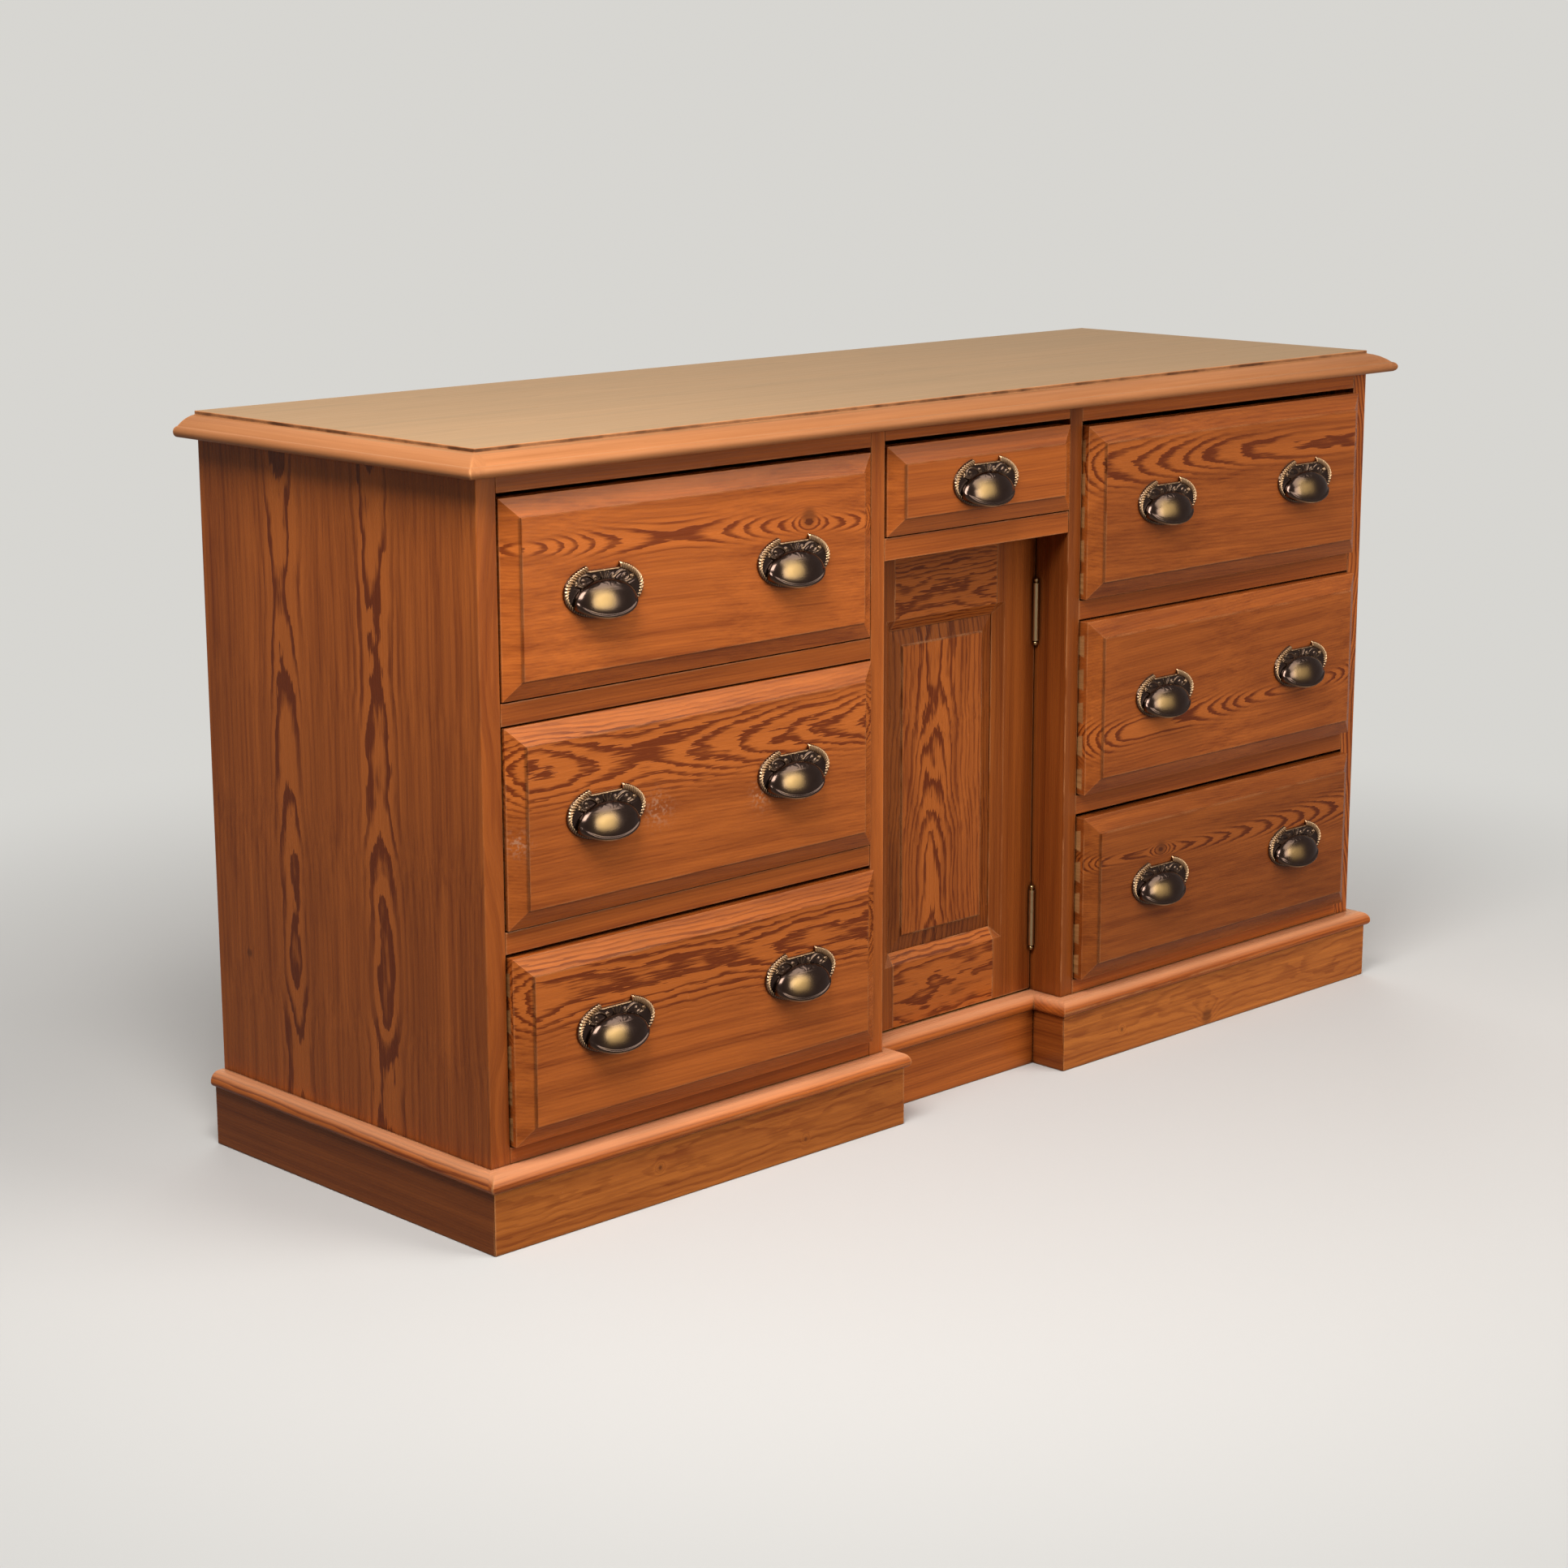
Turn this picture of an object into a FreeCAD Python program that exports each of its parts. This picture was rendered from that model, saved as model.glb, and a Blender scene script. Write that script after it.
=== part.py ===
import FreeCAD, Part
import math
import os
import re
import Sketcher

# A pine dresser base: two banks of three drawers, a small centre drawer over a recessed cupboard
# door, a moulded top and a plinth that steps back at the centre.
# Millimetres, +X to the right, -Y to the front, +Z up, origin on the floor under the middle of the box.

document = FreeCAD.newDocument("dresser_base")
vector = FreeCAD.Vector

# Driving dimensions
sizes = {
    # carcass
    "carcass_width": 1474,
    "carcass_depth": 482,
    "end_thickness": 26,
    "divider_thickness": 22,
    "centre_opening": 312,
    "bottom_thickness": 18,
    "back_thickness": 10,
    "back_rebate": 12,
    "back_board_gap": 1,
    "housing_depth": 6,
    "housing_setback": 10,
    "rail_height": 24,
    "rail_depth": 60,
    "top_rail_height": 15,
    "bank_rail_drop": 5,
    "top_rail_depth": 60,
    "rear_rail_depth": 40,
    "centre_rail_height": 26,
    "centre_rail_behind_stop": 6.7,
    "runner_width": 26,
    "bearer_depth": 60,
    "low_opening_height": 208,
    "mid_opening_height": 215,
    "top_opening_height": 219,
    "small_opening_height": 109,
    "recess_depth": 50,
    # top board
    "top_thickness": 27,
    "top_overhang": 29,
    "top_step": 4,
    "top_nose_radius": 6,
    "top_slope_radius": 40,
    "top_back_overhang": 4,
    # plinth and its moulding
    "plinth_height": 69,
    "plinth_thickness": 20,
    "plinth_side_proud": 13,
    "plinth_front_proud": 20,
    "plinth_return_proud": 16,
    "plinth_block": 44,
    "moulding_height": 18,
    "moulding_nose": 6,
    "moulding_top_radius": 12,
    # drawers
    "low_front_top_gap": 3.5,
    "mid_front_top_gap": 1.5,
    "top_front_top_gap": 10.5,
    "small_front_top_gap": 6.5,
    "front_side_gap": 1.8,
    "front_bottom_gap": 1.5,
    "front_edge_thickness": 16,
    "front_rise": 10,
    "front_bevel": 20,
    "front_quirk": 2,
    "drawer_back_clearance": 17,
    "drawer_side_thickness": 12,
    "drawer_side_drop": 8,
    "drawer_back_thickness": 12,
    "drawer_back_drop": 10,
    "drawer_back_housing": 4,
    "drawer_bottom_thickness": 6,
    "drawer_bottom_rise": 12,
    "drawer_groove": 6,
    "dovetail_lap": 5,
    "dovetail_width": 26,
    "dovetail_flare": 3,
    "runner_clearance": 0.3,
    "stop_length": 40,
    "stop_depth": 22,
    "stop_height": 8,
    "stop_clearance": 0.3,
    "stop_inset": 110,
    "small_stop_inset": 60,
    # how far each drawer stands open in the photograph
    "left_top_ajar": 1,
    "left_mid_ajar": 3,
    "left_low_ajar": 8,
    "centre_ajar": 2,
    "right_top_ajar": 9,
    "right_mid_ajar": 12,
    "right_low_ajar": 12,
    # how far each drawer's pulls sit off the middle of its front, to the right and upwards
    "left_top_pull_shift": -3,
    "left_top_pull_lift": -0.5,
    "left_mid_pull_shift": -5.5,
    "left_mid_pull_lift": 3,
    "left_low_pull_shift": -0.7,
    "left_low_pull_lift": 9,
    "centre_pull_shift": -6,
    "centre_pull_lift": 0.5,
    "right_top_pull_shift": 3,
    "right_top_pull_lift": 4.5,
    "right_mid_pull_shift": 3,
    "right_mid_pull_lift": 4,
    "right_low_pull_shift": 3,
    "right_low_pull_lift": 3.5,
    # cup pulls
    "pull_spacing": 272,
    "pull_half_width": 54,
    "pull_half_height": 29.5,
    "pull_plate_thickness": 2.5,
    "pull_rim_height": 5,
    "pull_rim_width": 6.5,
    "pull_dip_half_width": 20.5,
    "pull_dip_depth": 8.5,
    "pull_projection": 22,
    "bowl_half_width": 46,
    "bowl_half_height": 31.5,
    "bowl_centre_drop": 15,
    "bowl_wall": 2.2,
    "lip_half_width": 51,
    "lip_drop": 28,
    "lip_height": 4,
    "lip_flare": 2.5,
    "lip_ends_drop": 6,
    "pull_screw_offset": 38,
    "pull_screw_rise": 9.5,
    "pull_screw_head_radius": 3,
    "pull_screw_head_height": 1.5,
    "pull_screw_radius": 1.6,
    "pull_screw_length": 14,
    # door
    "door_thickness": 20,
    "door_gap": 2,
    "door_stop_gap": 0.3,
    "door_stop_height": 15,
    "door_stop_depth": 15,
    "door_stile_width": 67,
    "door_top_rail_height": 94,
    "door_bottom_rail_height": 90,
    "door_chamfer_width": 14,
    "door_chamfer_depth": 9,
    "door_groove": 8,
    "door_panel_slack": 1,
    "door_panel_setback": 10,
    "door_panel_thickness": 6,
    "door_panel_sight_gap": 0.5,
    "door_panel_bevel": 18,
    "door_panel_rise": 3,
    "door_panel_quirk": 1.5,
    "door_tenon_length": 30,
    "door_tenon_shoulder": 20,
    # knob
    "knob_rise": 310,
    "knob_edge_inset": 16,
    "knob_base_radius": 9,
    "knob_base_height": 3,
    "knob_neck_radius": 5,
    "knob_neck_length": 11,
    "knob_head_radius": 11,
    "knob_head_half_height": 7,
    "knob_shank_radius": 2.5,
    "knob_shank_length": 15,
    # butt hinges
    "hinge_length": 70,
    "hinge_low_rise": 56,
    "hinge_high_drop": 63,
    "hinge_leaf_depth": 17,
    "hinge_leaf_thickness": 1.5,
    "hinge_knuckle_radius": 3.5,
    "hinge_knuckle_gap": 0.2,
    "hinge_stand_off": 0.4,
    "hinge_wall_gap": 0.5,
    "hinge_pin_radius": 1.5,
    "hinge_pin_clearance": 0.05,
    "hinge_ball_radius": 3,
    "hinge_ball_gap": 0.3,
    "hinge_screw_head_radius": 2.6,
    "hinge_screw_head_depth": 1,
    "hinge_screw_radius": 1.4,
    "hinge_screw_length": 14,
    "hinge_screw_inset": 10,
}

# Lines and places that follow from the driving dimensions
layout = {
    "half_width": "carcass_width / 2",
    "half_centre": "centre_opening / 2",
    "bank_opening": "(carcass_width - centre_opening) / 2 - end_thickness - divider_thickness",
    "left_x": "-carcass_width / 2 + end_thickness",
    "centre_x": "-centre_opening / 2",
    "right_x": "centre_opening / 2 + divider_thickness",
    # heights
    "carcass_floor": "plinth_height + moulding_height",
    "low_floor": "carcass_floor + bottom_thickness",
    "low_rail_z": "low_floor + low_opening_height",
    "mid_floor": "low_rail_z + rail_height",
    "high_rail_z": "mid_floor + mid_opening_height",
    "top_floor": "high_rail_z + rail_height",
    "top_rail_z": "top_floor + top_opening_height",
    "top_underside": "top_rail_z + top_rail_height",
    "top_surface": "top_underside + top_thickness",
    "small_floor": "top_rail_z - small_opening_height",
    "centre_rail_z": "small_floor - centre_rail_height",
    # drawers
    "low_front_height": "low_opening_height - front_bottom_gap - low_front_top_gap",
    "mid_front_height": "mid_opening_height - front_bottom_gap - mid_front_top_gap",
    "top_front_height": "top_opening_height - front_bottom_gap - top_front_top_gap",
    "small_front_height": "small_opening_height - front_bottom_gap - small_front_top_gap",
    "drawer_depth": "carcass_depth - back_thickness - drawer_back_clearance",
    # cup pulls
    "lip_below_centre": "lip_drop - lip_height - bowl_centre_drop",
    "lip_projection": "(pull_projection + lip_flare)"
                      " * sqrt(1 - (lip_below_centre / (bowl_half_height + lip_flare)) ^ 2)",
    # depth lines
    "widest_ajar": "max(left_top_ajar; left_mid_ajar; left_low_ajar; centre_ajar;"
                   " right_top_ajar; right_mid_ajar; right_low_ajar)",
    "pull_reach": "widest_ajar + front_rise + front_quirk + max(pull_projection; lip_projection)",
    "forward_reach": "max(pull_reach; top_overhang; plinth_front_proud + moulding_nose)",
    "front_y": "(forward_reach - carcass_depth - top_back_overhang) / 2",
    "back_y": "front_y + carcass_depth",
    "inner_back_y": "back_y - back_thickness",
    "recess_y": "front_y + recess_depth",
    "door_back_y": "recess_y + door_thickness",
    "centre_rail_depth": "recess_depth + door_thickness + door_stop_gap + door_stop_depth"
                         " + centre_rail_behind_stop",
    "plinth_front_y": "front_y - plinth_front_proud",
    "plinth_centre_y": "recess_y - plinth_front_proud",
    # door
    "door_low_z": "carcass_floor + door_gap",
    "door_high_z": "centre_rail_z - door_gap",
    "door_half_width": "half_centre - door_gap",
    "sight_half_width": "door_half_width - door_stile_width",
    "sight_low_z": "door_low_z + door_bottom_rail_height",
    "sight_high_z": "door_high_z - door_top_rail_height",
    "hinge_x": "half_centre - hinge_wall_gap - hinge_knuckle_radius",
    "hinge_y": "recess_y - hinge_stand_off - hinge_knuckle_radius",
    "low_hinge_z": "door_low_z + hinge_low_rise",
    "high_hinge_z": "door_high_z - hinge_high_drop - hinge_length",
}

# Counts
large_drawer_tails = 5
small_drawer_tails = 2
back_board_count = 9
knuckle_count = 5


def make_sheet(name, cells):
    sheet = document.addObject("Spreadsheet::Sheet", name)
    for row, (alias, text) in enumerate(cells.items(), start=1):
        sheet.set("A%d" % row, alias)
        sheet.set("B%d" % row, text)
        sheet.setAlias("B%d" % row, alias)
    document.recompute()
    return sheet


def on_sheets(expression):
    # Each dimension's name gets the name of the sheet that holds it
    def with_sheet(match):
        word = match.group()
        if word in sizes:
            return "sizes." + word
        if word in layout:
            return "layout." + word
        return word
    return re.sub(r"[a-z_]+", with_sheet, expression)


make_sheet("sizes", {name: str(value) for name, value in sizes.items()})
layout_sheet = make_sheet("layout", {name: "=" + on_sheets(text) for name, text in layout.items()})


def worked_out(expression):
    return float(layout_sheet.evalExpression(on_sheets(expression)))


def bind(piece, property_name, expression):
    piece.setExpression(property_name, on_sheets(expression))


def place(piece, corner):
    for axis, expression in zip("xyz", corner):
        bind(piece, "Placement.Base." + axis, expression)


def box(name, corner, size):
    piece = document.addObject("Part::Box", name)
    for property_name, expression in zip(("Length", "Width", "Height"), size):
        bind(piece, property_name, expression)
    place(piece, corner)
    return piece


def wedge(name, corner, near, far, depth):
    # A block between two rectangles (x low, x high, z low, z high), near at the front and far behind it
    piece = document.addObject("Part::Wedge", name)
    for property_name, expression in zip(("Xmin", "Xmax", "Zmin", "Zmax"), near):
        bind(piece, property_name, expression)
    for property_name, expression in zip(("X2min", "X2max", "Z2min", "Z2max"), far):
        bind(piece, property_name, expression)
    piece.Ymin = 0
    bind(piece, "Ymax", depth)
    place(piece, corner)
    return piece


def cylinder(name, start, direction, radius, length):
    piece = document.addObject("Part::Cylinder", name)
    piece.Placement = FreeCAD.Placement(vector(), FreeCAD.Rotation(vector(0, 0, 1), direction))
    bind(piece, "Radius", radius)
    bind(piece, "Height", length)
    place(piece, start)
    return piece


def sphere(name, centre, radius):
    piece = document.addObject("Part::Sphere", name)
    bind(piece, "Radius", radius)
    place(piece, centre)
    return piece


def fuse(name, pieces):
    piece = document.addObject("Part::MultiFuse", name)
    piece.Shapes = pieces
    return piece


def group(name, pieces):
    piece = document.addObject("Part::Compound", name)
    piece.Links = pieces
    return piece


def cut(name, base, tools):
    piece = document.addObject("Part::Cut", name)
    piece.Base = base
    piece.Tool = tools[0] if len(tools) == 1 else group(name + "_cutters", tools)
    return piece


def common(name, first, second):
    piece = document.addObject("Part::Common", name)
    piece.Base = first
    piece.Tool = second
    return piece


def mirrored(name, source):
    piece = document.addObject("Part::Mirroring", name)
    piece.Source = source
    piece.Base = vector(0, 0, 0)
    piece.Normal = vector(1, 0, 0)
    return piece


def copied(name, source, spot):
    piece = document.addObject("App::Link", name)
    piece.LinkedObject = source
    place(piece, spot)
    return piece


def arc_between(start, end, radius):
    # An arc of less than a half circle that bulges to the right of the way from start to end
    chord = end - start
    half = chord.Length / 2
    side = vector(-chord.y, chord.x, 0).normalize()
    centre = (start + end) / 2 + side * math.sqrt(radius ** 2 - half ** 2)
    first = math.atan2(start.y - centre.y, start.x - centre.x)
    last = math.atan2(end.y - centre.y, end.x - centre.x)
    return Part.ArcOfCircle(Part.Circle(centre, vector(0, 0, 1), radius), first, last)


def profile_bar(name, plane_role, outline, length, spot):
    # A bar of one section: outline holds the section's corners anticlockwise, each with the radius
    # of the bulge that leads to the next corner, or None for a straight edge
    body = document.addObject("PartDesign::Body", name)
    sketch = body.newObject("Sketcher::SketchObject", name + "_section")
    plane = next(item for item in body.Origin.OriginFeatures if item.Role == plane_role)
    sketch.AttachmentSupport = [(plane, "")]
    sketch.MapMode = "FlatFace"
    spots = [vector(worked_out(across), worked_out(up), 0) for across, up, radius in outline]
    for index, (across, up, radius) in enumerate(outline):
        start = spots[index]
        end = spots[(index + 1) % len(spots)]
        if radius is None:
            sketch.addGeometry(Part.LineSegment(start, end))
        else:
            sketch.addGeometry(arc_between(start, end, worked_out(radius)))
    for edge, (across, up, radius) in enumerate(outline):
        before = (edge - 1) % len(outline)
        sketch.addConstraint(Sketcher.Constraint("Coincident", before, 2, edge, 1))
        for kind, expression, value in (("DistanceX", across, spots[edge].x),
                                        ("DistanceY", up, spots[edge].y)):
            number = sketch.addConstraint(Sketcher.Constraint(kind, edge, 1, value))
            bind(sketch, "Constraints[%d]" % number, expression)
        if radius is not None:
            number = sketch.addConstraint(Sketcher.Constraint("Radius", edge, worked_out(radius)))
            bind(sketch, "Constraints[%d]" % number, radius)
    pad = body.newObject("PartDesign::Pad", name + "_pad")
    pad.Profile = sketch
    bind(pad, "Length", length)
    body.Tip = pad
    place(body, spot)
    return body


def plan_block(name, corners, height, base):
    # An upright block with the given plan
    outline = [(across, along, None) for across, along in corners]
    return profile_bar(name, "XY_Plane", outline, height, ("0", "0", base))


def housed_board(name, corner, size):
    # A board between two uprights, with a tongue into each that stays back from the front edge
    x, y, z = corner
    length, depth, height = size
    between = box(name + "_between", corner, size)
    tongue = box(name + "_tongue",
                 (x + " - housing_depth", y + " + housing_setback", z),
                 (length + " + 2 * housing_depth", depth + " - housing_setback", height))
    return fuse(name, [between, tongue])


nodes = []


def node(piece):
    nodes.append(piece)
    return piece


# Rails, boards and runners between the uprights
inner_depth = "(carcass_depth - back_thickness)"


def bank_boards():
    width = "bank_opening"
    bottom = housed_board("left_bottom_board", ("left_x", "front_y", "carcass_floor"),
                          (width, inner_depth, "bottom_thickness"))
    rails = [housed_board("left_%s_rail" % tier, ("left_x", "front_y", tier + "_rail_z"),
                          (width, "rail_depth", "rail_height")) for tier in ("low", "high")]
    front = housed_board("left_front_top_rail", ("left_x", "front_y", "top_rail_z - bank_rail_drop"),
                         (width, "top_rail_depth", "top_rail_height + bank_rail_drop"))
    rear = housed_board("left_rear_top_rail", ("left_x", "inner_back_y - rear_rail_depth", "top_rail_z"),
                        (width, "rear_rail_depth", "top_rail_height"))
    return bottom, rails, front, rear


def centre_boards():
    width = "centre_opening"
    floor = housed_board("centre_floor", ("centre_x", "door_back_y + door_stop_gap", "carcass_floor"),
                         (width, "inner_back_y - door_back_y - door_stop_gap", "bottom_thickness"))
    rail = housed_board("centre_rail", ("centre_x", "front_y", "centre_rail_z"),
                        (width, "centre_rail_depth", "centre_rail_height"))
    front = housed_board("centre_front_top_rail", ("centre_x", "front_y", "top_rail_z"),
                         (width, "top_rail_depth", "top_rail_height"))
    rear = housed_board("centre_rear_top_rail", ("centre_x", "inner_back_y - rear_rail_depth", "top_rail_z"),
                        (width, "rear_rail_depth", "top_rail_height"))
    return floor, rail, front, rear


def strip_pair(name, bank_x, opening, start_y, length, z, height):
    # Two strips along the uprights of one opening, front to back
    near = box(name + "_near", (bank_x, start_y, z), ("runner_width", length, height))
    far = box(name + "_far", (bank_x + " + " + opening + " - runner_width", start_y, z),
              ("runner_width", length, height))
    return [near, far]


def make_carcass():
    left_bottom, left_rails, left_front, left_rear = bank_boards()
    floor, centre_rail, centre_front, centre_rear = centre_boards()

    node(group("left_bank_rails", left_rails))
    node(mirrored("right_bank_rails", document.getObject("left_bank_rails")))
    node(centre_rail)
    node(group("bottom_boards", [left_bottom, mirrored("right_bottom_board", left_bottom), floor]))
    node(group("top_rails", [left_front, left_rear, centre_front, centre_rear,
                             mirrored("right_front_top_rail", left_front),
                             mirrored("right_rear_top_rail", left_rear)]))

    runner_start = "front_y + rail_depth"
    runner_length = "inner_back_y - front_y - rail_depth"
    left_runners = []
    for tier in ("low", "high"):
        left_runners += strip_pair("left_%s_runner" % tier, "left_x", "bank_opening", runner_start,
                                   runner_length, tier + "_rail_z", "rail_height")
    centre_runners = strip_pair("centre_runner", "centre_x", "centre_opening",
                                "front_y + centre_rail_depth",
                                "inner_back_y - front_y - centre_rail_depth",
                                "centre_rail_z", "centre_rail_height")
    right_runners = [mirrored(piece.Name.replace("left", "right"), piece) for piece in left_runners]
    node(group("drawer_runners", left_runners + centre_runners + right_runners))

    kicker_start = "front_y + top_rail_depth"
    kicker_length = "inner_back_y - front_y - top_rail_depth - rear_rail_depth"
    left_kickers = strip_pair("left_kicker", "left_x", "bank_opening", kicker_start, kicker_length,
                              "top_rail_z", "top_rail_height")
    centre_kickers = strip_pair("centre_kicker", "centre_x", "centre_opening", kicker_start,
                                kicker_length, "top_rail_z", "top_rail_height")
    right_kickers = [mirrored(piece.Name.replace("left", "right"), piece) for piece in left_kickers]
    node(group("drawer_kickers", left_kickers + centre_kickers + right_kickers))

    upright_height = "top_underside - plinth_height"
    end_panel = box("left_end_panel", ("-half_width", "front_y", "plinth_height"),
                    ("end_thickness", "carcass_depth", upright_height))
    rebate = box("back_rebate_space",
                 ("-half_width + end_thickness - back_rebate", "inner_back_y", "plinth_height"),
                 ("carcass_width - 2 * end_thickness + 2 * back_rebate", "back_thickness", upright_height))
    left_members = [left_bottom, left_front, left_rear] + left_rails
    node(cut("left_end", end_panel, left_members + [rebate]))
    node(mirrored("right_end", document.getObject("left_end")))

    divider_panel = box("divider_panel", ("centre_x - divider_thickness", "front_y", "plinth_height"),
                        ("divider_thickness", inner_depth, upright_height))
    centre_members = [floor, centre_rail, centre_front, centre_rear]
    node(cut("left_divider", divider_panel, left_members + centre_members))
    right_blank = mirrored("right_divider_blank", document.getObject("left_divider"))

    boards = []
    back_width = "(carcass_width - 2 * end_thickness + 2 * back_rebate + back_board_gap)"
    width = "%s / %d" % (back_width, back_board_count)
    for index in range(back_board_count):
        boards.append(box("back_board_%d" % (index + 1),
                          ("-half_width + end_thickness - back_rebate + %d * %s" % (index, width),
                           "inner_back_y", "plinth_height"),
                          (width + " - back_board_gap", "back_thickness", upright_height)))
    node(group("back_boards", boards))

    bearer_height = "moulding_height"
    left_bearers = [
        box("left_front_bearer", ("left_x", "front_y", "plinth_height"),
            ("bank_opening", "bearer_depth", bearer_height)),
        box("left_rear_bearer", ("left_x", "inner_back_y - bearer_depth", "plinth_height"),
            ("bank_opening", "bearer_depth", bearer_height)),
    ]
    centre_bearers = [
        box("centre_front_bearer", ("centre_x", "recess_y", "plinth_height"),
            ("centre_opening", "bearer_depth", bearer_height)),
        box("centre_rear_bearer", ("centre_x", "inner_back_y - bearer_depth", "plinth_height"),
            ("centre_opening", "bearer_depth", bearer_height)),
    ]
    right_bearers = [mirrored(piece.Name.replace("left", "right"), piece) for piece in left_bearers]
    node(group("bottom_bearers", left_bearers + centre_bearers + right_bearers))
    return right_blank


def make_stops():
    # Small blocks behind the drawer fronts that stop each drawer flush
    stop_y = "front_y + front_edge_thickness + stop_clearance"
    size = ("stop_length", "stop_depth", "stop_height")
    left_stops = []
    for tier in ("low", "mid", "top"):
        for side, x in (("near", "left_x + stop_inset"),
                        ("far", "left_x + bank_opening - stop_inset - stop_length")):
            left_stops.append(box("left_%s_stop_%s" % (tier, side), (x, stop_y, tier + "_floor"), size))
    centre_stops = []
    for side, x in (("near", "centre_x + small_stop_inset"),
                    ("far", "centre_x + centre_opening - small_stop_inset - stop_length")):
        centre_stops.append(box("centre_stop_" + side, (x, stop_y, "small_floor"), size))
    right_stops = [mirrored(piece.Name.replace("left", "right"), piece) for piece in left_stops]
    node(group("drawer_stops", left_stops + centre_stops + right_stops))


def make_top():
    nose = "(top_overhang - top_nose_radius)"
    nose_top = "top_underside + 2 * top_nose_radius"
    nose_middle = "top_underside + top_nose_radius"
    step_foot = "top_surface - top_step"
    across = [
        ("half_width", "top_surface", None),
        ("-half_width", "top_surface", None),
        ("-half_width", step_foot, "top_slope_radius"),
        ("-half_width - " + nose, nose_top, "top_nose_radius"),
        ("-half_width - top_overhang", nose_middle, "top_nose_radius"),
        ("-half_width - " + nose, "top_underside", None),
        ("half_width + " + nose, "top_underside", "top_nose_radius"),
        ("half_width + top_overhang", nose_middle, "top_nose_radius"),
        ("half_width + " + nose, nose_top, "top_slope_radius"),
        ("half_width", step_foot, None),
    ]
    along = [
        ("back_y + top_back_overhang", "top_surface", None),
        ("front_y", "top_surface", None),
        ("front_y", step_foot, "top_slope_radius"),
        ("front_y - " + nose, nose_top, "top_nose_radius"),
        ("front_y - top_overhang", nose_middle, "top_nose_radius"),
        ("front_y - " + nose, "top_underside", None),
        ("back_y + top_back_overhang", "top_underside", None),
    ]
    # The two sections are bars longer than the top, and what they share is the mitred board
    ends_bar = profile_bar("top_ends_bar", "XZ_Plane", across,
                           "carcass_depth + 4 * top_overhang",
                           ("0", "back_y + 2 * top_overhang", "0"))
    front_bar = profile_bar("top_front_bar", "YZ_Plane", along,
                            "carcass_width + 4 * top_overhang",
                            ("-half_width - 2 * top_overhang", "0", "0"))
    node(common("top_board", ends_bar, front_bar))


def make_plinth():
    outer_x = "half_width + plinth_side_proud"
    recess_x = "half_centre - plinth_return_proud"
    inner_front = "plinth_front_y + plinth_thickness"
    inner_centre = "plinth_centre_y + plinth_thickness"
    inner_x = "(%s - plinth_thickness)" % outer_x
    inner_recess_x = "(%s + plinth_thickness)" % recess_x
    side = plan_block("left_plinth_side", [
        ("-(%s)" % outer_x, "back_y"),
        ("-(%s)" % outer_x, "plinth_front_y"),
        ("-" + inner_x, inner_front),
        ("-" + inner_x, "back_y"),
    ], "plinth_height", "0")
    front = plan_block("left_plinth_front", [
        ("-(%s)" % outer_x, "plinth_front_y"),
        ("-(%s)" % recess_x, "plinth_front_y"),
        ("-" + inner_recess_x, inner_front),
        ("-" + inner_x, inner_front),
    ], "plinth_height", "0")
    corner_return = plan_block("left_plinth_return", [
        ("-(%s)" % recess_x, "plinth_front_y"),
        ("-(%s)" % recess_x, "plinth_centre_y"),
        ("-" + inner_recess_x, inner_centre),
        ("-" + inner_recess_x, inner_front),
    ], "plinth_height", "0")
    centre = plan_block("plinth_centre", [
        ("-(%s)" % recess_x, "plinth_centre_y"),
        (recess_x, "plinth_centre_y"),
        (inner_recess_x, inner_centre),
        ("-" + inner_recess_x, inner_centre),
    ], "plinth_height", "0")
    node(group("plinth_sides", [side, mirrored("right_plinth_side", side)]))
    node(group("plinth_fronts", [front, mirrored("right_plinth_front", front)]))
    node(group("plinth_returns", [corner_return, mirrored("right_plinth_return", corner_return)]))
    node(centre)
    node(box("plinth_back", ("-" + inner_x, "back_y - plinth_thickness", "0"),
             ("2 * " + inner_x, "plinth_thickness", "plinth_height")))

    block = ("plinth_block", "plinth_block", "plinth_height")
    rear_y = "back_y - plinth_thickness - plinth_block"
    left_blocks = [
        box("left_block_1", ("-" + inner_x, inner_front, "0"), block),
        box("left_block_2", ("-%s - plinth_block" % inner_recess_x, inner_front, "0"), block),
        box("left_block_3", ("-" + inner_x, rear_y, "0"), block),
        box("left_block_4", ("-%s - plinth_block" % inner_recess_x, rear_y, "0"), block),
    ]
    right_blocks = [mirrored(piece.Name.replace("left", "right"), piece) for piece in left_blocks]
    node(group("plinth_blocks", left_blocks + right_blocks))


def mitre(base, nose, inward_x):
    # Where two lengths of moulding meet: the nose corner, a true mitre inwards from it, the inner corner
    base_x, base_y = base
    nose_x, nose_y = nose
    run = "min(abs(%s - (%s)); abs(%s - (%s)))" % (nose_x, base_x, nose_y, base_y)
    knee = ("%s + (%d) * %s" % (nose_x, inward_x, run), "%s + %s" % (nose_y, run))
    return nose, knee, base


def across_middle(corner):
    return "-(%s)" % corner[0], corner[1]


def without_repeats(corners):
    spots = [vector(worked_out(across), worked_out(along), 0) for across, along in corners]
    return [corner for index, corner in enumerate(corners)
            if not spots[index].isEqual(spots[index - 1], Part.Precision.confusion())]


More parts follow.
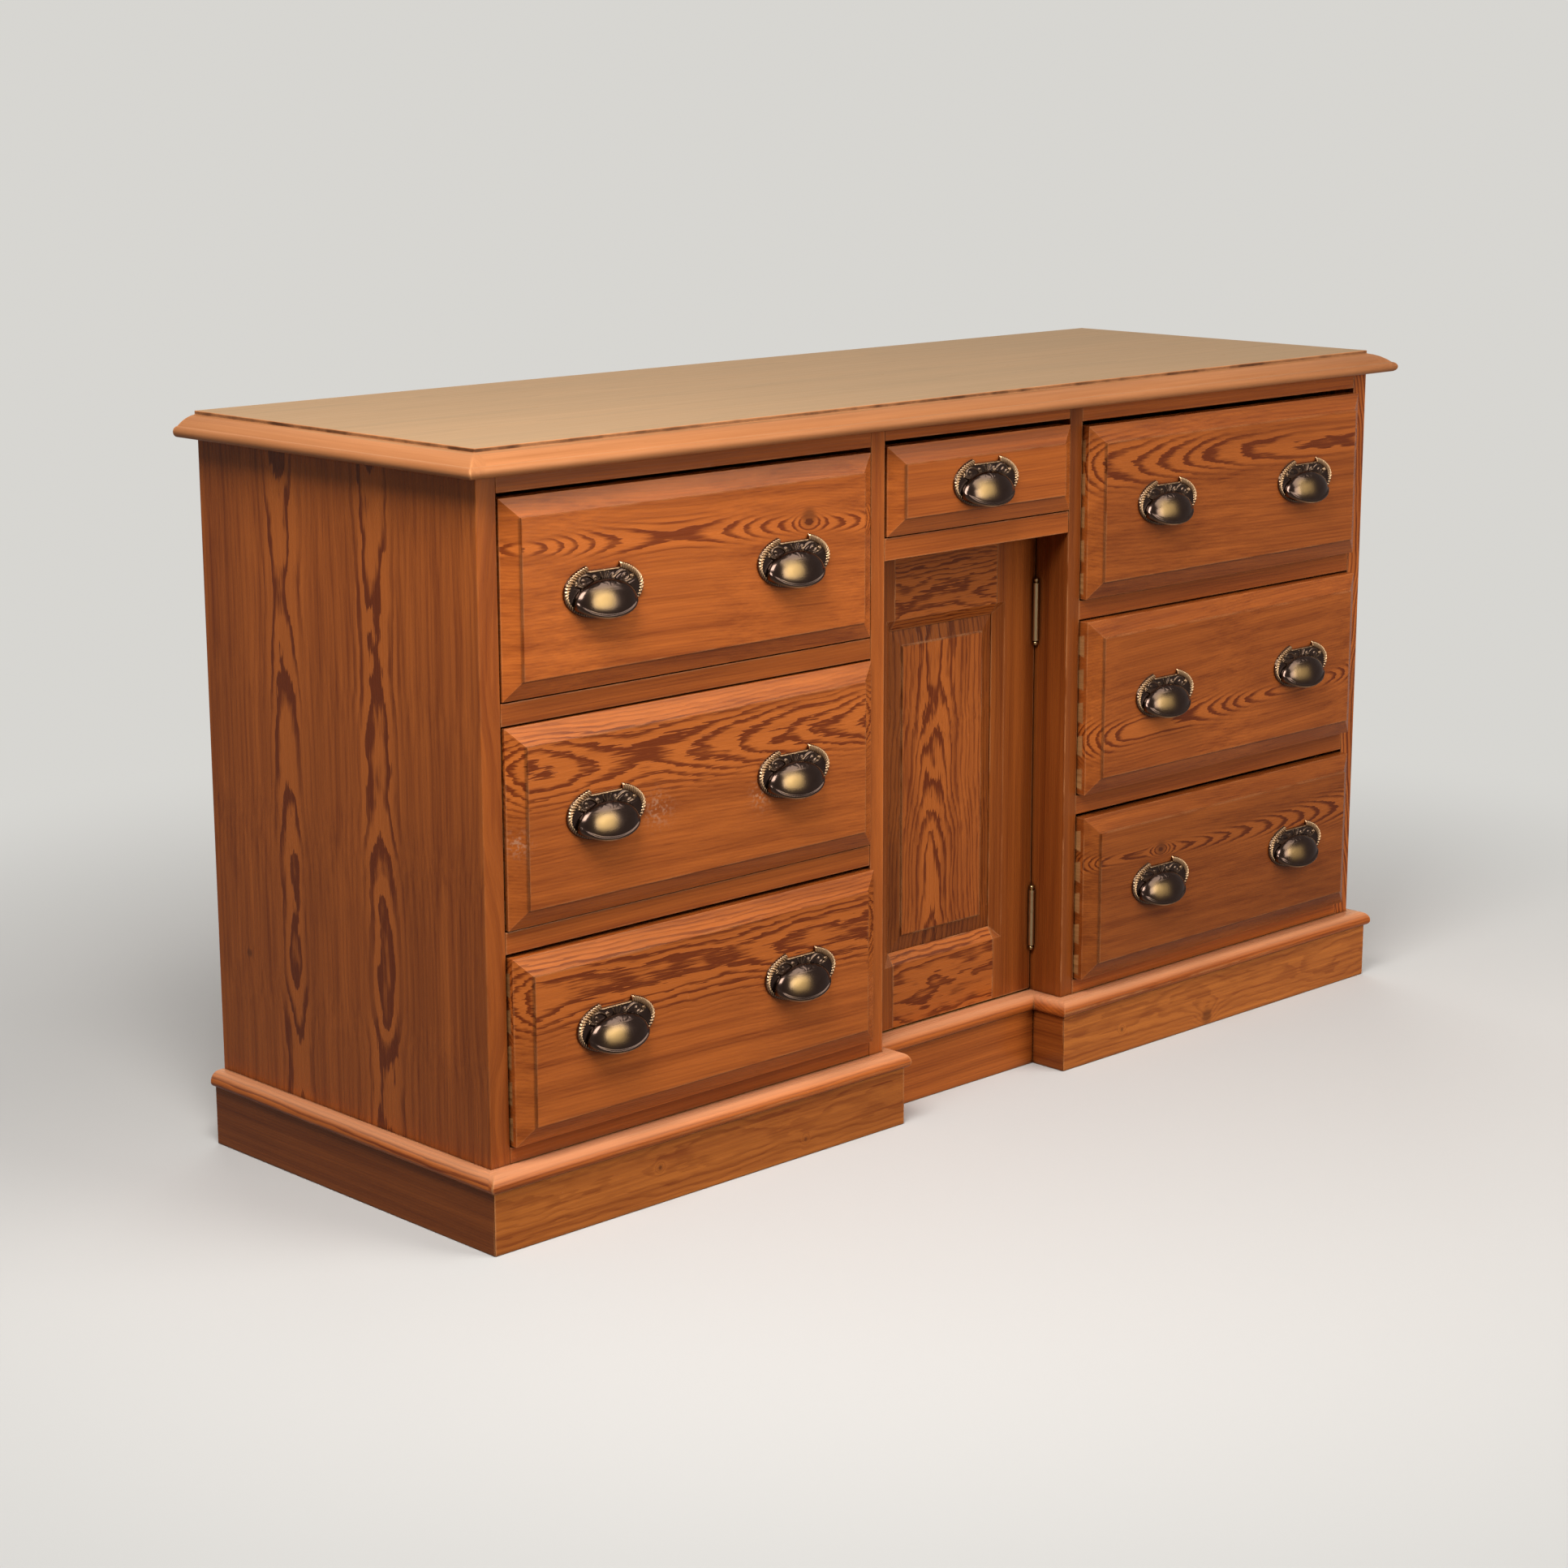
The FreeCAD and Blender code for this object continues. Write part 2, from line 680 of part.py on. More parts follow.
def moulding_section(inner, outwards, width):
    # Flat back and underside, a thumb nose; inner is the plane that it butts, outwards its facing (+1 or -1)
    low = "plinth_height"
    high = "plinth_height + moulding_height"
    nose = "plinth_height + moulding_height - moulding_top_radius"
    low_radius = "(moulding_height - moulding_top_radius)"
    reach = "%s + (%d) * (%s)"
    top_start = reach % (inner, outwards, width + " - moulding_top_radius")
    nose_tip = reach % (inner, outwards, width)
    low_end = reach % (inner, outwards, width + " - " + low_radius)
    if outwards < 0:
        return [(inner, high, None), (top_start, high, "moulding_top_radius"),
                (nose_tip, nose, low_radius), (low_end, low, None), (inner, low, None)]
    return [(inner, low, None), (low_end, low, low_radius),
            (nose_tip, nose, "moulding_top_radius"), (top_start, high, None), (inner, high, None)]


def make_moulding():
    side_width = "plinth_side_proud + moulding_nose"
    front_width = "plinth_front_proud + moulding_nose"
    return_width = "plinth_return_proud + moulding_nose"
    end_corner = mitre(("-half_width", "front_y"),
                       ("-half_width - (%s)" % side_width, "front_y - (%s)" % front_width), 1)
    out_corner = mitre(("-half_centre", "front_y"),
                       ("-half_centre + " + return_width, "front_y - (%s)" % front_width), -1)
    in_corner = mitre(("-half_centre", "recess_y"),
                      ("-half_centre + " + return_width, "recess_y - (%s)" % front_width), -1)
    back_nose = ("-half_width - (%s)" % side_width, "back_y")
    back_inner = ("-half_width", "back_y")
    plans = {
        "side": [back_nose, *end_corner, back_inner],
        "front": [end_corner[0], *out_corner, *reversed(end_corner[1:])],
        "return": [out_corner[0], *in_corner, *reversed(out_corner[1:])],
        "centre": [in_corner[0], *map(across_middle, in_corner), *reversed(in_corner[1:])],
    }
    width_bar = ("carcass_width + 2 * (%s)" % side_width, ("-half_width - (%s)" % side_width, "0", "0"))
    depth_bar = ("carcass_depth + " + front_width, ("0", "back_y", "0"))
    bars = {
        "side": ("XZ_Plane", moulding_section("-half_width", -1, side_width), *depth_bar),
        "front": ("YZ_Plane", moulding_section("front_y", -1, front_width), *width_bar),
        "return": ("XZ_Plane", moulding_section("-half_centre", 1, return_width), *depth_bar),
        "centre": ("YZ_Plane", moulding_section("recess_y", -1, front_width), *width_bar),
    }
    lengths = {}
    for name, plan in plans.items():
        bar = profile_bar("moulding_%s_bar" % name, *bars[name])
        footprint = plan_block("moulding_%s_plan" % name, without_repeats(plan),
                               "moulding_height", "plinth_height")
        lengths[name] = common("moulding_" + name, bar, footprint)
    opposite = [mirrored("moulding_right_" + name, lengths[name]) for name in ("side", "front", "return")]
    node(group("plinth_moulding", list(lengths.values()) + opposite))


def oval_block(name, half_width, half_height, length):
    # An upright oval on the pull's back plane, pushed out forwards
    oval = document.addObject("Part::Ellipse", name + "_oval")
    bind(oval, "MajorRadius", half_width)
    bind(oval, "MinorRadius", half_height)
    oval.Placement = FreeCAD.Placement(vector(), FreeCAD.Rotation(vector(1, 0, 0), 90))
    block = document.addObject("Part::Extrusion", name)
    block.Base = oval
    block.DirMode = "Custom"
    block.Dir = vector(0, -1, 0)
    block.Solid = True
    bind(block, "LengthFwd", length)
    return block


def ellipsoid(name, centre, half_width, half_depth, half_height):
    piece = document.addObject("Part::Ellipsoid", name)
    piece.Angle1 = -90
    piece.Angle2 = 90
    piece.Angle3 = 360
    bind(piece, "Radius1", half_height)
    bind(piece, "Radius2", half_width)
    bind(piece, "Radius3", half_depth)
    place(piece, centre)
    return piece


def make_cup_pull():
    # An oval plate with a raised rim and two horns at the top, and a bowl that is open below, where
    # its edge follows a smaller oval and turns out in a lip
    backwards = vector(0, 1, 0)
    plate = oval_block("pull_plate", "pull_half_width", "pull_half_height", "pull_plate_thickness")
    rim_outer = oval_block("pull_rim_outer", "pull_half_width", "pull_half_height", "pull_rim_height")
    rim_inner = oval_block("pull_rim_inner", "pull_half_width - pull_rim_width",
                           "pull_half_height - pull_rim_width", "2 * pull_rim_height")
    rim = cut("pull_rim", rim_outer, [rim_inner])
    centre = ("0", "0", "-bowl_centre_drop")
    outside = ellipsoid("bowl_outside", centre, "bowl_half_width", "pull_projection", "bowl_half_height")
    inside = ellipsoid("bowl_inside", centre, "bowl_half_width - bowl_wall",
                       "pull_projection - bowl_wall", "bowl_half_height - bowl_wall")
    flared = ellipsoid("lip_outside", centre, "bowl_half_width + lip_flare",
                       "pull_projection + lip_flare", "bowl_half_height + lip_flare")
    reach = "2 * pull_projection"
    outline = oval_block("bowl_outline", "lip_half_width", "lip_drop", reach)
    lip_inner = oval_block("lip_inner_outline", "lip_half_width - lip_height", "lip_drop - lip_height", reach)
    lip_zone = box("lip_zone", ("-lip_half_width", "-" + reach, "-lip_drop"),
                   ("2 * lip_half_width", reach, "lip_drop - lip_ends_drop"))
    bowl = common("pull_bowl", cut("bowl_shell", outside, [inside]), outline)
    band = cut("lip_band", outline, [lip_inner])
    lip_blank = cut("lip_blank", common("lip_ring", flared, band), [inside])
    lip = common("pull_lip", lip_blank, lip_zone)
    dip = box("pull_dip",
              ("-pull_dip_half_width", "-2 * pull_rim_height", "pull_half_height - pull_dip_depth"),
              ("2 * pull_dip_half_width", "3 * pull_rim_height", "2 * pull_dip_depth"))
    screws = []
    for side, sign in (("left", "-"), ("right", "")):
        x = sign + "pull_screw_offset"
        head = cylinder("pull_%s_screw_head" % side,
                        (x, "-pull_plate_thickness - pull_screw_head_height", "pull_screw_rise"),
                        backwards, "pull_screw_head_radius", "pull_screw_head_height")
        shank = cylinder("pull_%s_screw_shank" % side, (x, "-pull_plate_thickness", "pull_screw_rise"),
                         backwards, "pull_screw_radius", "pull_plate_thickness + pull_screw_length")
        screws.append(fuse("pull_%s_screw" % side, [head, shank]))
    casting = cut("pull_casting", fuse("pull_blank", [plate, rim, bowl, lip]), [dip] + screws)
    return group("cup_pull", [casting] + screws)


def make_drawer(name, bank, tier, opening, tails, pull, pull_offsets):
    title = name + "_drawer_"
    left = "%s_x + front_side_gap" % bank
    width = "(%s - 2 * front_side_gap)" % opening
    face = "front_y - %s_ajar" % name
    low = "%s_floor + front_bottom_gap" % tier
    height = "%s_front_height" % tier
    side_low = "%s_floor + runner_clearance" % tier
    side_height = "(%s_front_height - drawer_side_drop)" % tier

    slab = box(title + "slab", (left, face, low), (width, "front_edge_thickness", height))
    field = ("front_bevel", width + " - front_bevel", "front_bevel", height + " - front_bevel")
    bevel = wedge(title + "bevel", (left, face + " - front_rise", low), field,
                  ("0", width, "0", height), "front_rise")
    raised = box(title + "field",
                 (left + " + front_bevel", face + " - front_rise - front_quirk", low + " + front_bevel"),
                 (width + " - 2 * front_bevel", "front_quirk", height + " - 2 * front_bevel"))

    bottom_low = side_low + " + drawer_bottom_rise"
    bottom = box(title + "bottom",
                 (left + " + drawer_side_thickness - drawer_groove",
                  face + " + front_edge_thickness - drawer_groove", bottom_low),
                 (width + " - 2 * drawer_side_thickness + 2 * drawer_groove",
                  "drawer_depth - front_edge_thickness + drawer_groove", "drawer_bottom_thickness"))
    back = box(title + "back",
               (left + " + drawer_side_thickness - drawer_back_housing",
                face + " + drawer_depth - drawer_back_thickness", bottom_low + " + drawer_bottom_thickness"),
               (width + " - 2 * drawer_side_thickness + 2 * drawer_back_housing", "drawer_back_thickness",
                side_height + " - drawer_bottom_rise - drawer_bottom_thickness - drawer_back_drop"))

    pitch = "%s / %d" % (side_height, tails)
    sides = []
    all_tails = []
    for side, x in (("left", left), ("right", "%s + %s - drawer_side_thickness" % (left, width))):
        board = box("%s%s_board" % (title, side), (x, face + " + front_edge_thickness", side_low),
                    ("drawer_side_thickness", "drawer_depth - front_edge_thickness", side_height))
        side_tails = []
        for index in range(tails):
            middle = "%s + %s * %s" % (side_low, index + 0.5, pitch)
            side_tails.append(wedge("%s%s_tail_%d" % (title, side, index + 1),
                                    (x, face + " + dovetail_lap", middle + " - dovetail_width / 2"),
                                    ("0", "drawer_side_thickness", "0", "dovetail_width"),
                                    ("0", "drawer_side_thickness", "dovetail_flare",
                                     "dovetail_width - dovetail_flare"),
                                    "front_edge_thickness - dovetail_lap"))
        blank = fuse("%s%s_blank" % (title, side), [board] + side_tails)
        sides.append(cut("%s%s_side" % (title, side), blank, [bottom, back]))
        all_tails += side_tails

    pull_x = "%s + %s / 2 + %s_pull_shift" % (left, width, name)
    pull_y = face + " - front_rise - front_quirk"
    pull_z = "%s + %s / 2 + %s_pull_lift" % (low, height, name)
    pulls = [copied("%spull_%d" % (title, number), pull, (pull_x + offset, pull_y, pull_z))
             for number, offset in enumerate(pull_offsets, start=1)]
    pull_group = group(title + "pulls", pulls)
    front_blank = fuse(title + "front_blank", [slab, bevel, raised])
    node(cut(title + "front", front_blank, all_tails + [bottom, pull_group]))
    node(group(title + "box", sides + [back]))
    node(bottom)
    node(pull_group)


def make_drawers():
    pull = make_cup_pull()
    pair = (" - pull_spacing / 2", " + pull_spacing / 2")
    for bank in ("left", "right"):
        for tier in ("top", "mid", "low"):
            make_drawer("%s_%s" % (bank, tier), bank, tier, "bank_opening", large_drawer_tails, pull, pair)
    make_drawer("centre", "centre", "small", "centre_opening", small_drawer_tails, pull, ("",))


def make_hinge_leaves(name, heights, plate_x, web_width, knuckles, screw_x, screw_direction):
    # The two hinges' leaves on one side: plates, knuckles joined to them by webs, and countersunk screws
    leaves = []
    plates = []
    screws = []
    segment = "hinge_length / %d" % knuckle_count
    for place_name, z in heights.items():
        title = "%s_%s" % (name, place_name)
        plate = box(title + "_plate", (plate_x, "recess_y", z),
                    ("hinge_leaf_thickness", "hinge_leaf_depth", "hinge_length"))
        pieces = [plate]
        for index in knuckles:
            low = "%s + %d * %s + hinge_knuckle_gap / 2" % (z, index, segment)
            tall = segment + " - hinge_knuckle_gap"
            pieces.append(cylinder("%s_knuckle_%d" % (title, index), ("hinge_x", "hinge_y", low),
                                   vector(0, 0, 1), "hinge_knuckle_radius", tall))
            pieces.append(box("%s_web_%d" % (title, index), (plate_x, "hinge_y", low),
                              (web_width, "recess_y - hinge_y", tall)))
        bore = cylinder(title + "_bore", ("hinge_x", "hinge_y", z), vector(0, 0, 1),
                        "hinge_pin_radius + hinge_pin_clearance", "hinge_length")
        leaf_screws = []
        for number, up in enumerate(("hinge_screw_inset", "hinge_length / 2",
                                     "hinge_length - hinge_screw_inset"), start=1):
            spot = (screw_x, "recess_y + hinge_leaf_depth / 2", "%s + %s" % (z, up))
            head = cylinder("%s_screw_head_%d" % (title, number), spot, screw_direction,
                            "hinge_screw_head_radius", "hinge_screw_head_depth")
            shank = cylinder("%s_screw_shank_%d" % (title, number), spot, screw_direction,
                             "hinge_screw_radius", "hinge_screw_length")
            leaf_screws.append(fuse("%s_screw_%d" % (title, number), [head, shank]))
        leaves.append(cut(title + "_leaf", fuse(title + "_leaf_blank", pieces), [bore] + leaf_screws))
        plates.append(plate)
        screws += leaf_screws
    return leaves, plates, screws


def make_hinges(divider_blank):
    heights = {"low": "low_hinge_z", "high": "high_hinge_z"}
    frame_x = "half_centre - hinge_leaf_thickness"
    frame_leaves, _, frame_screws = make_hinge_leaves(
        "frame_hinge", heights, frame_x, "hinge_leaf_thickness - hinge_wall_gap",
        range(0, knuckle_count, 2), frame_x, vector(1, 0, 0))
    door_leaves, door_plates, door_screws = make_hinge_leaves(
        "door_hinge", heights, "door_half_width - hinge_leaf_thickness", "hinge_leaf_thickness",
        range(1, knuckle_count, 2), "door_half_width", vector(-1, 0, 0))
    node(cut("right_divider", divider_blank, frame_screws))
    node(group("hinge_frame_leaves", frame_leaves + frame_screws))
    node(group("hinge_door_leaves", door_leaves + door_screws))
    pins = []
    for place_name, z in heights.items():
        low_ball = z + " - hinge_ball_gap - hinge_ball_radius"
        high_ball = z + " + hinge_length + hinge_ball_gap + hinge_ball_radius"
        rod = cylinder("hinge_rod_" + place_name, ("hinge_x", "hinge_y", low_ball), vector(0, 0, 1),
                       "hinge_pin_radius", "hinge_length + 2 * (hinge_ball_gap + hinge_ball_radius)")
        balls = [sphere("hinge_ball_%s_%d" % (place_name, number), ("hinge_x", "hinge_y", ball),
                        "hinge_ball_radius") for number, ball in enumerate((low_ball, high_ball), start=1)]
        pins.append(fuse("hinge_pin_" + place_name, [rod] + balls))
    node(group("hinge_pins", pins))
    return door_plates + door_screws


def make_door(hinge_recesses):
    forwards = vector(0, -1, 0)
    sight_height = "(sight_high_z - sight_low_z)"
    chamfer = wedge("door_chamfer", ("-sight_half_width", "recess_y", "sight_low_z"),
                    ("-door_chamfer_width", "2 * sight_half_width + door_chamfer_width",
                     "-door_chamfer_width", sight_height + " + door_chamfer_width"),
                    ("0", "2 * sight_half_width", "0", sight_height), "door_chamfer_depth")
    panel_y = "recess_y + door_panel_setback"
    groove = box("door_groove_space",
                 ("-sight_half_width - door_groove", panel_y, "sight_low_z - door_groove"),
                 ("2 * (sight_half_width + door_groove)", "door_panel_thickness",
                  sight_height + " + 2 * door_groove"))

    tenon_x = "-sight_half_width - door_tenon_length"
    tenon_length = "2 * (sight_half_width + door_tenon_length)"
    rails = {
        "bottom": ("door_low_z", "door_bottom_rail_height", "door_low_z + door_tenon_shoulder"),
        "top": ("sight_high_z", "door_top_rail_height", "sight_high_z + door_groove"),
    }
    tenons = []
    for name, (low, height, tenon_low) in rails.items():
        rail = box("door_%s_rail_bar" % name, ("-sight_half_width", "recess_y", low),
                   ("2 * sight_half_width", "door_thickness", height))
        tenon = box("door_%s_tenon" % name, (tenon_x, panel_y, tenon_low),
                    (tenon_length, "door_panel_thickness", height + " - door_tenon_shoulder - door_groove"))
        tenons.append(tenon)
        node(cut("door_%s_rail" % name, fuse("door_%s_rail_blank" % name, [rail, tenon]), [chamfer, groove]))

    knob_x = "-door_half_width + knob_edge_inset"
    knob_z = "door_low_z + knob_rise"
    knob_foot = (knob_x, "recess_y", knob_z)
    base = cylinder("knob_base", knob_foot, forwards, "knob_base_radius", "knob_base_height")
    neck = cylinder("knob_neck", knob_foot, forwards, "knob_neck_radius", "knob_neck_length")
    head = ellipsoid("knob_head", (knob_x, "recess_y - knob_neck_length", knob_z),
                     "knob_head_radius", "knob_head_half_height", "knob_head_radius")
    shank = cylinder("knob_shank", knob_foot, vector(0, 1, 0), "knob_shank_radius", "knob_shank_length")
    knob = node(fuse("door_knob", [base, neck, head, shank]))

    stile_size = ("door_stile_width", "door_thickness", "door_high_z - door_low_z")
    hinge_side = box("door_hinge_stile_bar", ("sight_half_width", "recess_y", "door_low_z"), stile_size)
    lock_side = box("door_lock_stile_bar", ("-door_half_width", "recess_y", "door_low_z"), stile_size)
    node(cut("door_hinge_stile", hinge_side, [chamfer, groove] + tenons + hinge_recesses))
    node(cut("door_lock_stile", lock_side, [chamfer, groove, knob] + tenons))

    held = "door_groove - door_panel_slack"
    plate = box("door_panel_plate",
                ("-sight_half_width - (%s)" % held, panel_y, "sight_low_z - (%s)" % held),
                ("2 * (sight_half_width + %s)" % held, "door_panel_thickness",
                 sight_height + " + 2 * (%s)" % held))
    inset = "(door_panel_sight_gap + door_panel_bevel)"
    raised = wedge("door_panel_bevel_block",
                   ("-sight_half_width", panel_y + " - door_panel_rise", "sight_low_z"),
                   (inset, "2 * sight_half_width - " + inset, inset, sight_height + " - " + inset),
                   ("door_panel_sight_gap", "2 * sight_half_width - door_panel_sight_gap",
                    "door_panel_sight_gap", sight_height + " - door_panel_sight_gap"), "door_panel_rise")
    field = box("door_panel_field",
                ("-sight_half_width + " + inset, panel_y + " - door_panel_rise - door_panel_quirk",
                 "sight_low_z + " + inset),
                ("2 * (sight_half_width - %s)" % inset, "door_panel_quirk", sight_height + " - 2 * " + inset))
    node(fuse("door_panel", [plate, raised, field]))

    node(box("door_stop",
             ("-door_half_width", "door_back_y + door_stop_gap", "centre_rail_z - door_stop_height"),
             ("2 * door_half_width", "door_stop_depth", "door_stop_height")))


def write_parts():
    document.recompute()
    for item in document.Objects:
        if "Invalid" in item.State or "Error" in item.State:
            raise RuntimeError("%s did not build: %s" % (item.Name, item.State))
    for piece in nodes:
        if piece.Shape.isNull() or not piece.Shape.isValid():
            raise RuntimeError("%s has no valid shape" % piece.Label)
    os.makedirs("parts", exist_ok=True)
    for piece in nodes:
        piece.Shape.exportStep("parts/%s.step" % piece.Label)
        print(piece.Label, len(piece.Shape.Solids), "solids, %.1f cm3" % (piece.Shape.Volume / 1000))
    print(len(nodes), "nodes")


right_divider_blank = make_carcass()
make_stops()
make_top()
make_plinth()
make_moulding()
make_drawers()
make_door(make_hinges(right_divider_blank))
write_parts()
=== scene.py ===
import math
from functools import partial

import bmesh
import bpy
import numpy as np
from mathutils import Matrix, Vector


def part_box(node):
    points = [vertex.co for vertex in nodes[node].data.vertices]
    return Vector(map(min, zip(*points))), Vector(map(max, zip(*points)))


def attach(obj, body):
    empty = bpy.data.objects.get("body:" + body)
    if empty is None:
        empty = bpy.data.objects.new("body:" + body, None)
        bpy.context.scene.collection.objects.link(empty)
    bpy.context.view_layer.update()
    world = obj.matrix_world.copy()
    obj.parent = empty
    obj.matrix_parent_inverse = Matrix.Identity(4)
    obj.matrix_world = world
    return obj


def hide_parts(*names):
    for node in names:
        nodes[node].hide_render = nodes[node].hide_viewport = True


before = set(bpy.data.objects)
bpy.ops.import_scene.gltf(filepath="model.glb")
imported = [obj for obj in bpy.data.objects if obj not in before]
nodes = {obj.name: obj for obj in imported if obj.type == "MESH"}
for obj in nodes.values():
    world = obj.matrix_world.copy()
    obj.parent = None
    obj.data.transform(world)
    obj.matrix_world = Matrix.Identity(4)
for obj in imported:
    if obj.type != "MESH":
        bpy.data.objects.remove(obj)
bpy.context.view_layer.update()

scene = bpy.context.scene
scene.view_settings.view_transform = "Standard"


# camera at the photograph's viewing angle

photoView = {
    "place": (-2.7350, -2.7278, 1.2253),
    "azimuth": -43.99,
    "elevation": 12.82,
    "roll": -0.15,
    "lens": 74.503,  # mm, on a 36 mm sensor
    "shiftY": -0.00104,
    "clipEnd": 200,
}


def setCamera(view):
    azimuth, elevation, roll = (math.radians(view[k]) for k in ("azimuth", "elevation", "roll"))
    back = Vector((math.sin(azimuth) * math.cos(elevation),
                   -math.cos(azimuth) * math.cos(elevation), math.sin(elevation)))
    right = Vector((0, 0, 1)).cross(back).normalized()
    up = back.cross(right)
    turnedRight = right * math.cos(roll) + up * math.sin(roll)
    turnedUp = up * math.cos(roll) - right * math.sin(roll)
    lens = bpy.data.cameras.new("photoLens")
    lens.lens = view["lens"]
    lens.shift_y = view["shiftY"]
    lens.clip_end = view["clipEnd"]
    camera = bpy.data.objects.new("photoCamera", lens)
    scene.collection.objects.link(camera)
    facing = Matrix((turnedRight, turnedUp, back)).transposed().to_4x4()
    facing.translation = view["place"]
    camera.matrix_world = facing
    scene.camera = camera


setCamera(photoView)
print("camera set")


# small helpers for shader trees

def addNode(tree, kind, **settings):
    made = tree.nodes.new(kind)
    for name, value in settings.items():
        setattr(made, name, value)
    return made


def feed(tree, socket, value):
    if isinstance(value, bpy.types.NodeSocket):
        tree.links.new(value, socket)
    else:
        socket.default_value = value


def fill(tree, made, *values):  # feeds the first sockets in order
    for socket, value in zip(made.inputs, values):
        feed(tree, socket, value)
    return made.outputs


def sums(tree, operation, *values, clamp=False):
    made = addNode(tree, "ShaderNodeMath", operation=operation, use_clamp=clamp)
    return fill(tree, made, *values)[0]


def arithmetic(tree):  # times, plus and minus in one tree
    return [partial(sums, tree, operation) for operation in ("MULTIPLY", "ADD", "SUBTRACT")]


def vectors(tree, operation, *values):
    return fill(tree, addNode(tree, "ShaderNodeVectorMath", operation=operation), *values)


def ramp(tree, value, low, high, toLow=0.0, toHigh=1.0, smooth=True):
    made = addNode(tree, "ShaderNodeMapRange",
                   interpolation_type="SMOOTHSTEP" if smooth else "LINEAR")
    return fill(tree, made, value, low, high, toLow, toHigh)[0]


def blendColour(tree, factor, first, second, mode="MIX"):
    made = addNode(tree, "ShaderNodeMix", data_type="RGBA", blend_type=mode)
    for number, value in ((0, factor), (6, first), (7, second)):  # the colour mix's own sockets
        feed(tree, made.inputs[number], value)
    return made.outputs[2]


def joined(tree, x, y, z):
    return fill(tree, addNode(tree, "ShaderNodeCombineXYZ"), x, y, z)[0]


def apart(tree, vector):
    return fill(tree, addNode(tree, "ShaderNodeSeparateXYZ"), vector)


def ownSpot(tree):
    return addNode(tree, "ShaderNodeTexCoord").outputs["Object"]


def upwardness(tree):  # 1 on a level upper face, 0 on an upright one
    return apart(tree, addNode(tree, "ShaderNodeNewGeometry").outputs["Normal"])["Z"]


def noise(tree, spot, scale, detail, seed, roughness=0.5):
    made = addNode(tree, "ShaderNodeTexNoise", noise_dimensions="4D")
    settings = {"Vector": spot, "W": seed, "Scale": scale, "Detail": detail, "Roughness": roughness}
    for name, value in settings.items():
        feed(tree, made.inputs[name], value)
    return made.outputs[0]


def newGroup(name, inputs, outputs):
    tree = bpy.data.node_groups.new(name, "ShaderNodeTree")
    kinds = {"f": "NodeSocketFloat", "c": "NodeSocketColor", "v": "NodeSocketVector"}
    for label, kind, *value in inputs:
        made = tree.interface.new_socket(label, in_out="INPUT", socket_type=kinds[kind])
        if value:
            made.default_value = value[0]
    for label, kind in outputs:
        tree.interface.new_socket(label, in_out="OUTPUT", socket_type=kinds[kind])
    given = tree.nodes.new("NodeGroupInput").outputs
    return tree, given, tree.nodes.new("NodeGroupOutput").inputs


def place(tree, group, **values):
    made = addNode(tree, "ShaderNodeGroup", node_tree=group)
    for name, value in values.items():
        feed(tree, made.inputs[name], value)
    return made.outputs


def newMaterial(name):
    material = bpy.data.materials.new(name)
    material.use_nodes = True
    shader = material.node_tree.nodes["Principled BSDF"]
    return material, material.node_tree, shader


def addRelief(tree, shader, height, strength, distance):
    relief = addNode(tree, "ShaderNodeBump")
    relief.inputs["Strength"].default_value = strength
    relief.inputs["Distance"].default_value = distance
    feed(tree, relief.inputs["Height"], height)
    feed(tree, shader.inputs["Normal"], relief.outputs[0])


# pitch pine: growth rings cut by the board's face, so flames, chevrons and fine lines
# come from one form

pineGrain = {  # noise drawn out along the grain: scale along, across, detail, seed, roughness
    "broad": (4.0, 11.0, 1.0, 0.0),
    "small": (17.0, 45.0, 2.0, 3.1),
    "sway": (3.0, 6.0, 1.0, 7.7),
    "feather": (26.0, 520.0, 2.0, 5.3),
    "streak": (5.0, 420.0, 4.0, 13.0, 0.65),
    "band": (1.6, 75.0, 4.0, 23.0, 0.68),
    "tone": (2.0, 8.0, 2.0, 17.0),
    "fleck": (30.0, 900.0, 2.0, 19.0),
}
pineLook = {
    "broadWaver": 5.0,  # times the board's waver
    "smallWaver": 2.2,
    "sway": 0.012,  # m, how far the heart wanders across the face
    "featherSwing": 4.0,  # times the board's feather
    "knotPull": -0.0075,  # m, how far a knot draws the rings
    "uneven": (90.0, 11.0, 1.6),  # rings of unequal width: scale, seed, swing
    "lateGrows": (0.38, 0.80),  # shares of a year's growth
    "lateStops": (0.93, 1.0),
    "lateMean": 0.42,
    "flatCut": (0.36, 0.76),  # from quiet to full figure
    "fleckFrom": (0.66, 0.80),
    "lines": (1.5, 1.7),  # streak and band in the mix of pale and dark
    "shade": (0.6, 0.55, 0.22),  # tone, streak and fleck
    "warmth": (1.12, 1.2),  # powers of the shade in green and blue
    "core": (0.075, 0.018, 0.006, 1),
    "coreShare": 0.6,
    "roughness": (0.27, 0.14, 0.12),  # base, streak, fleck
    "relief": (0.35, 0.5, 0.5),  # late wood, streak, fleck
}


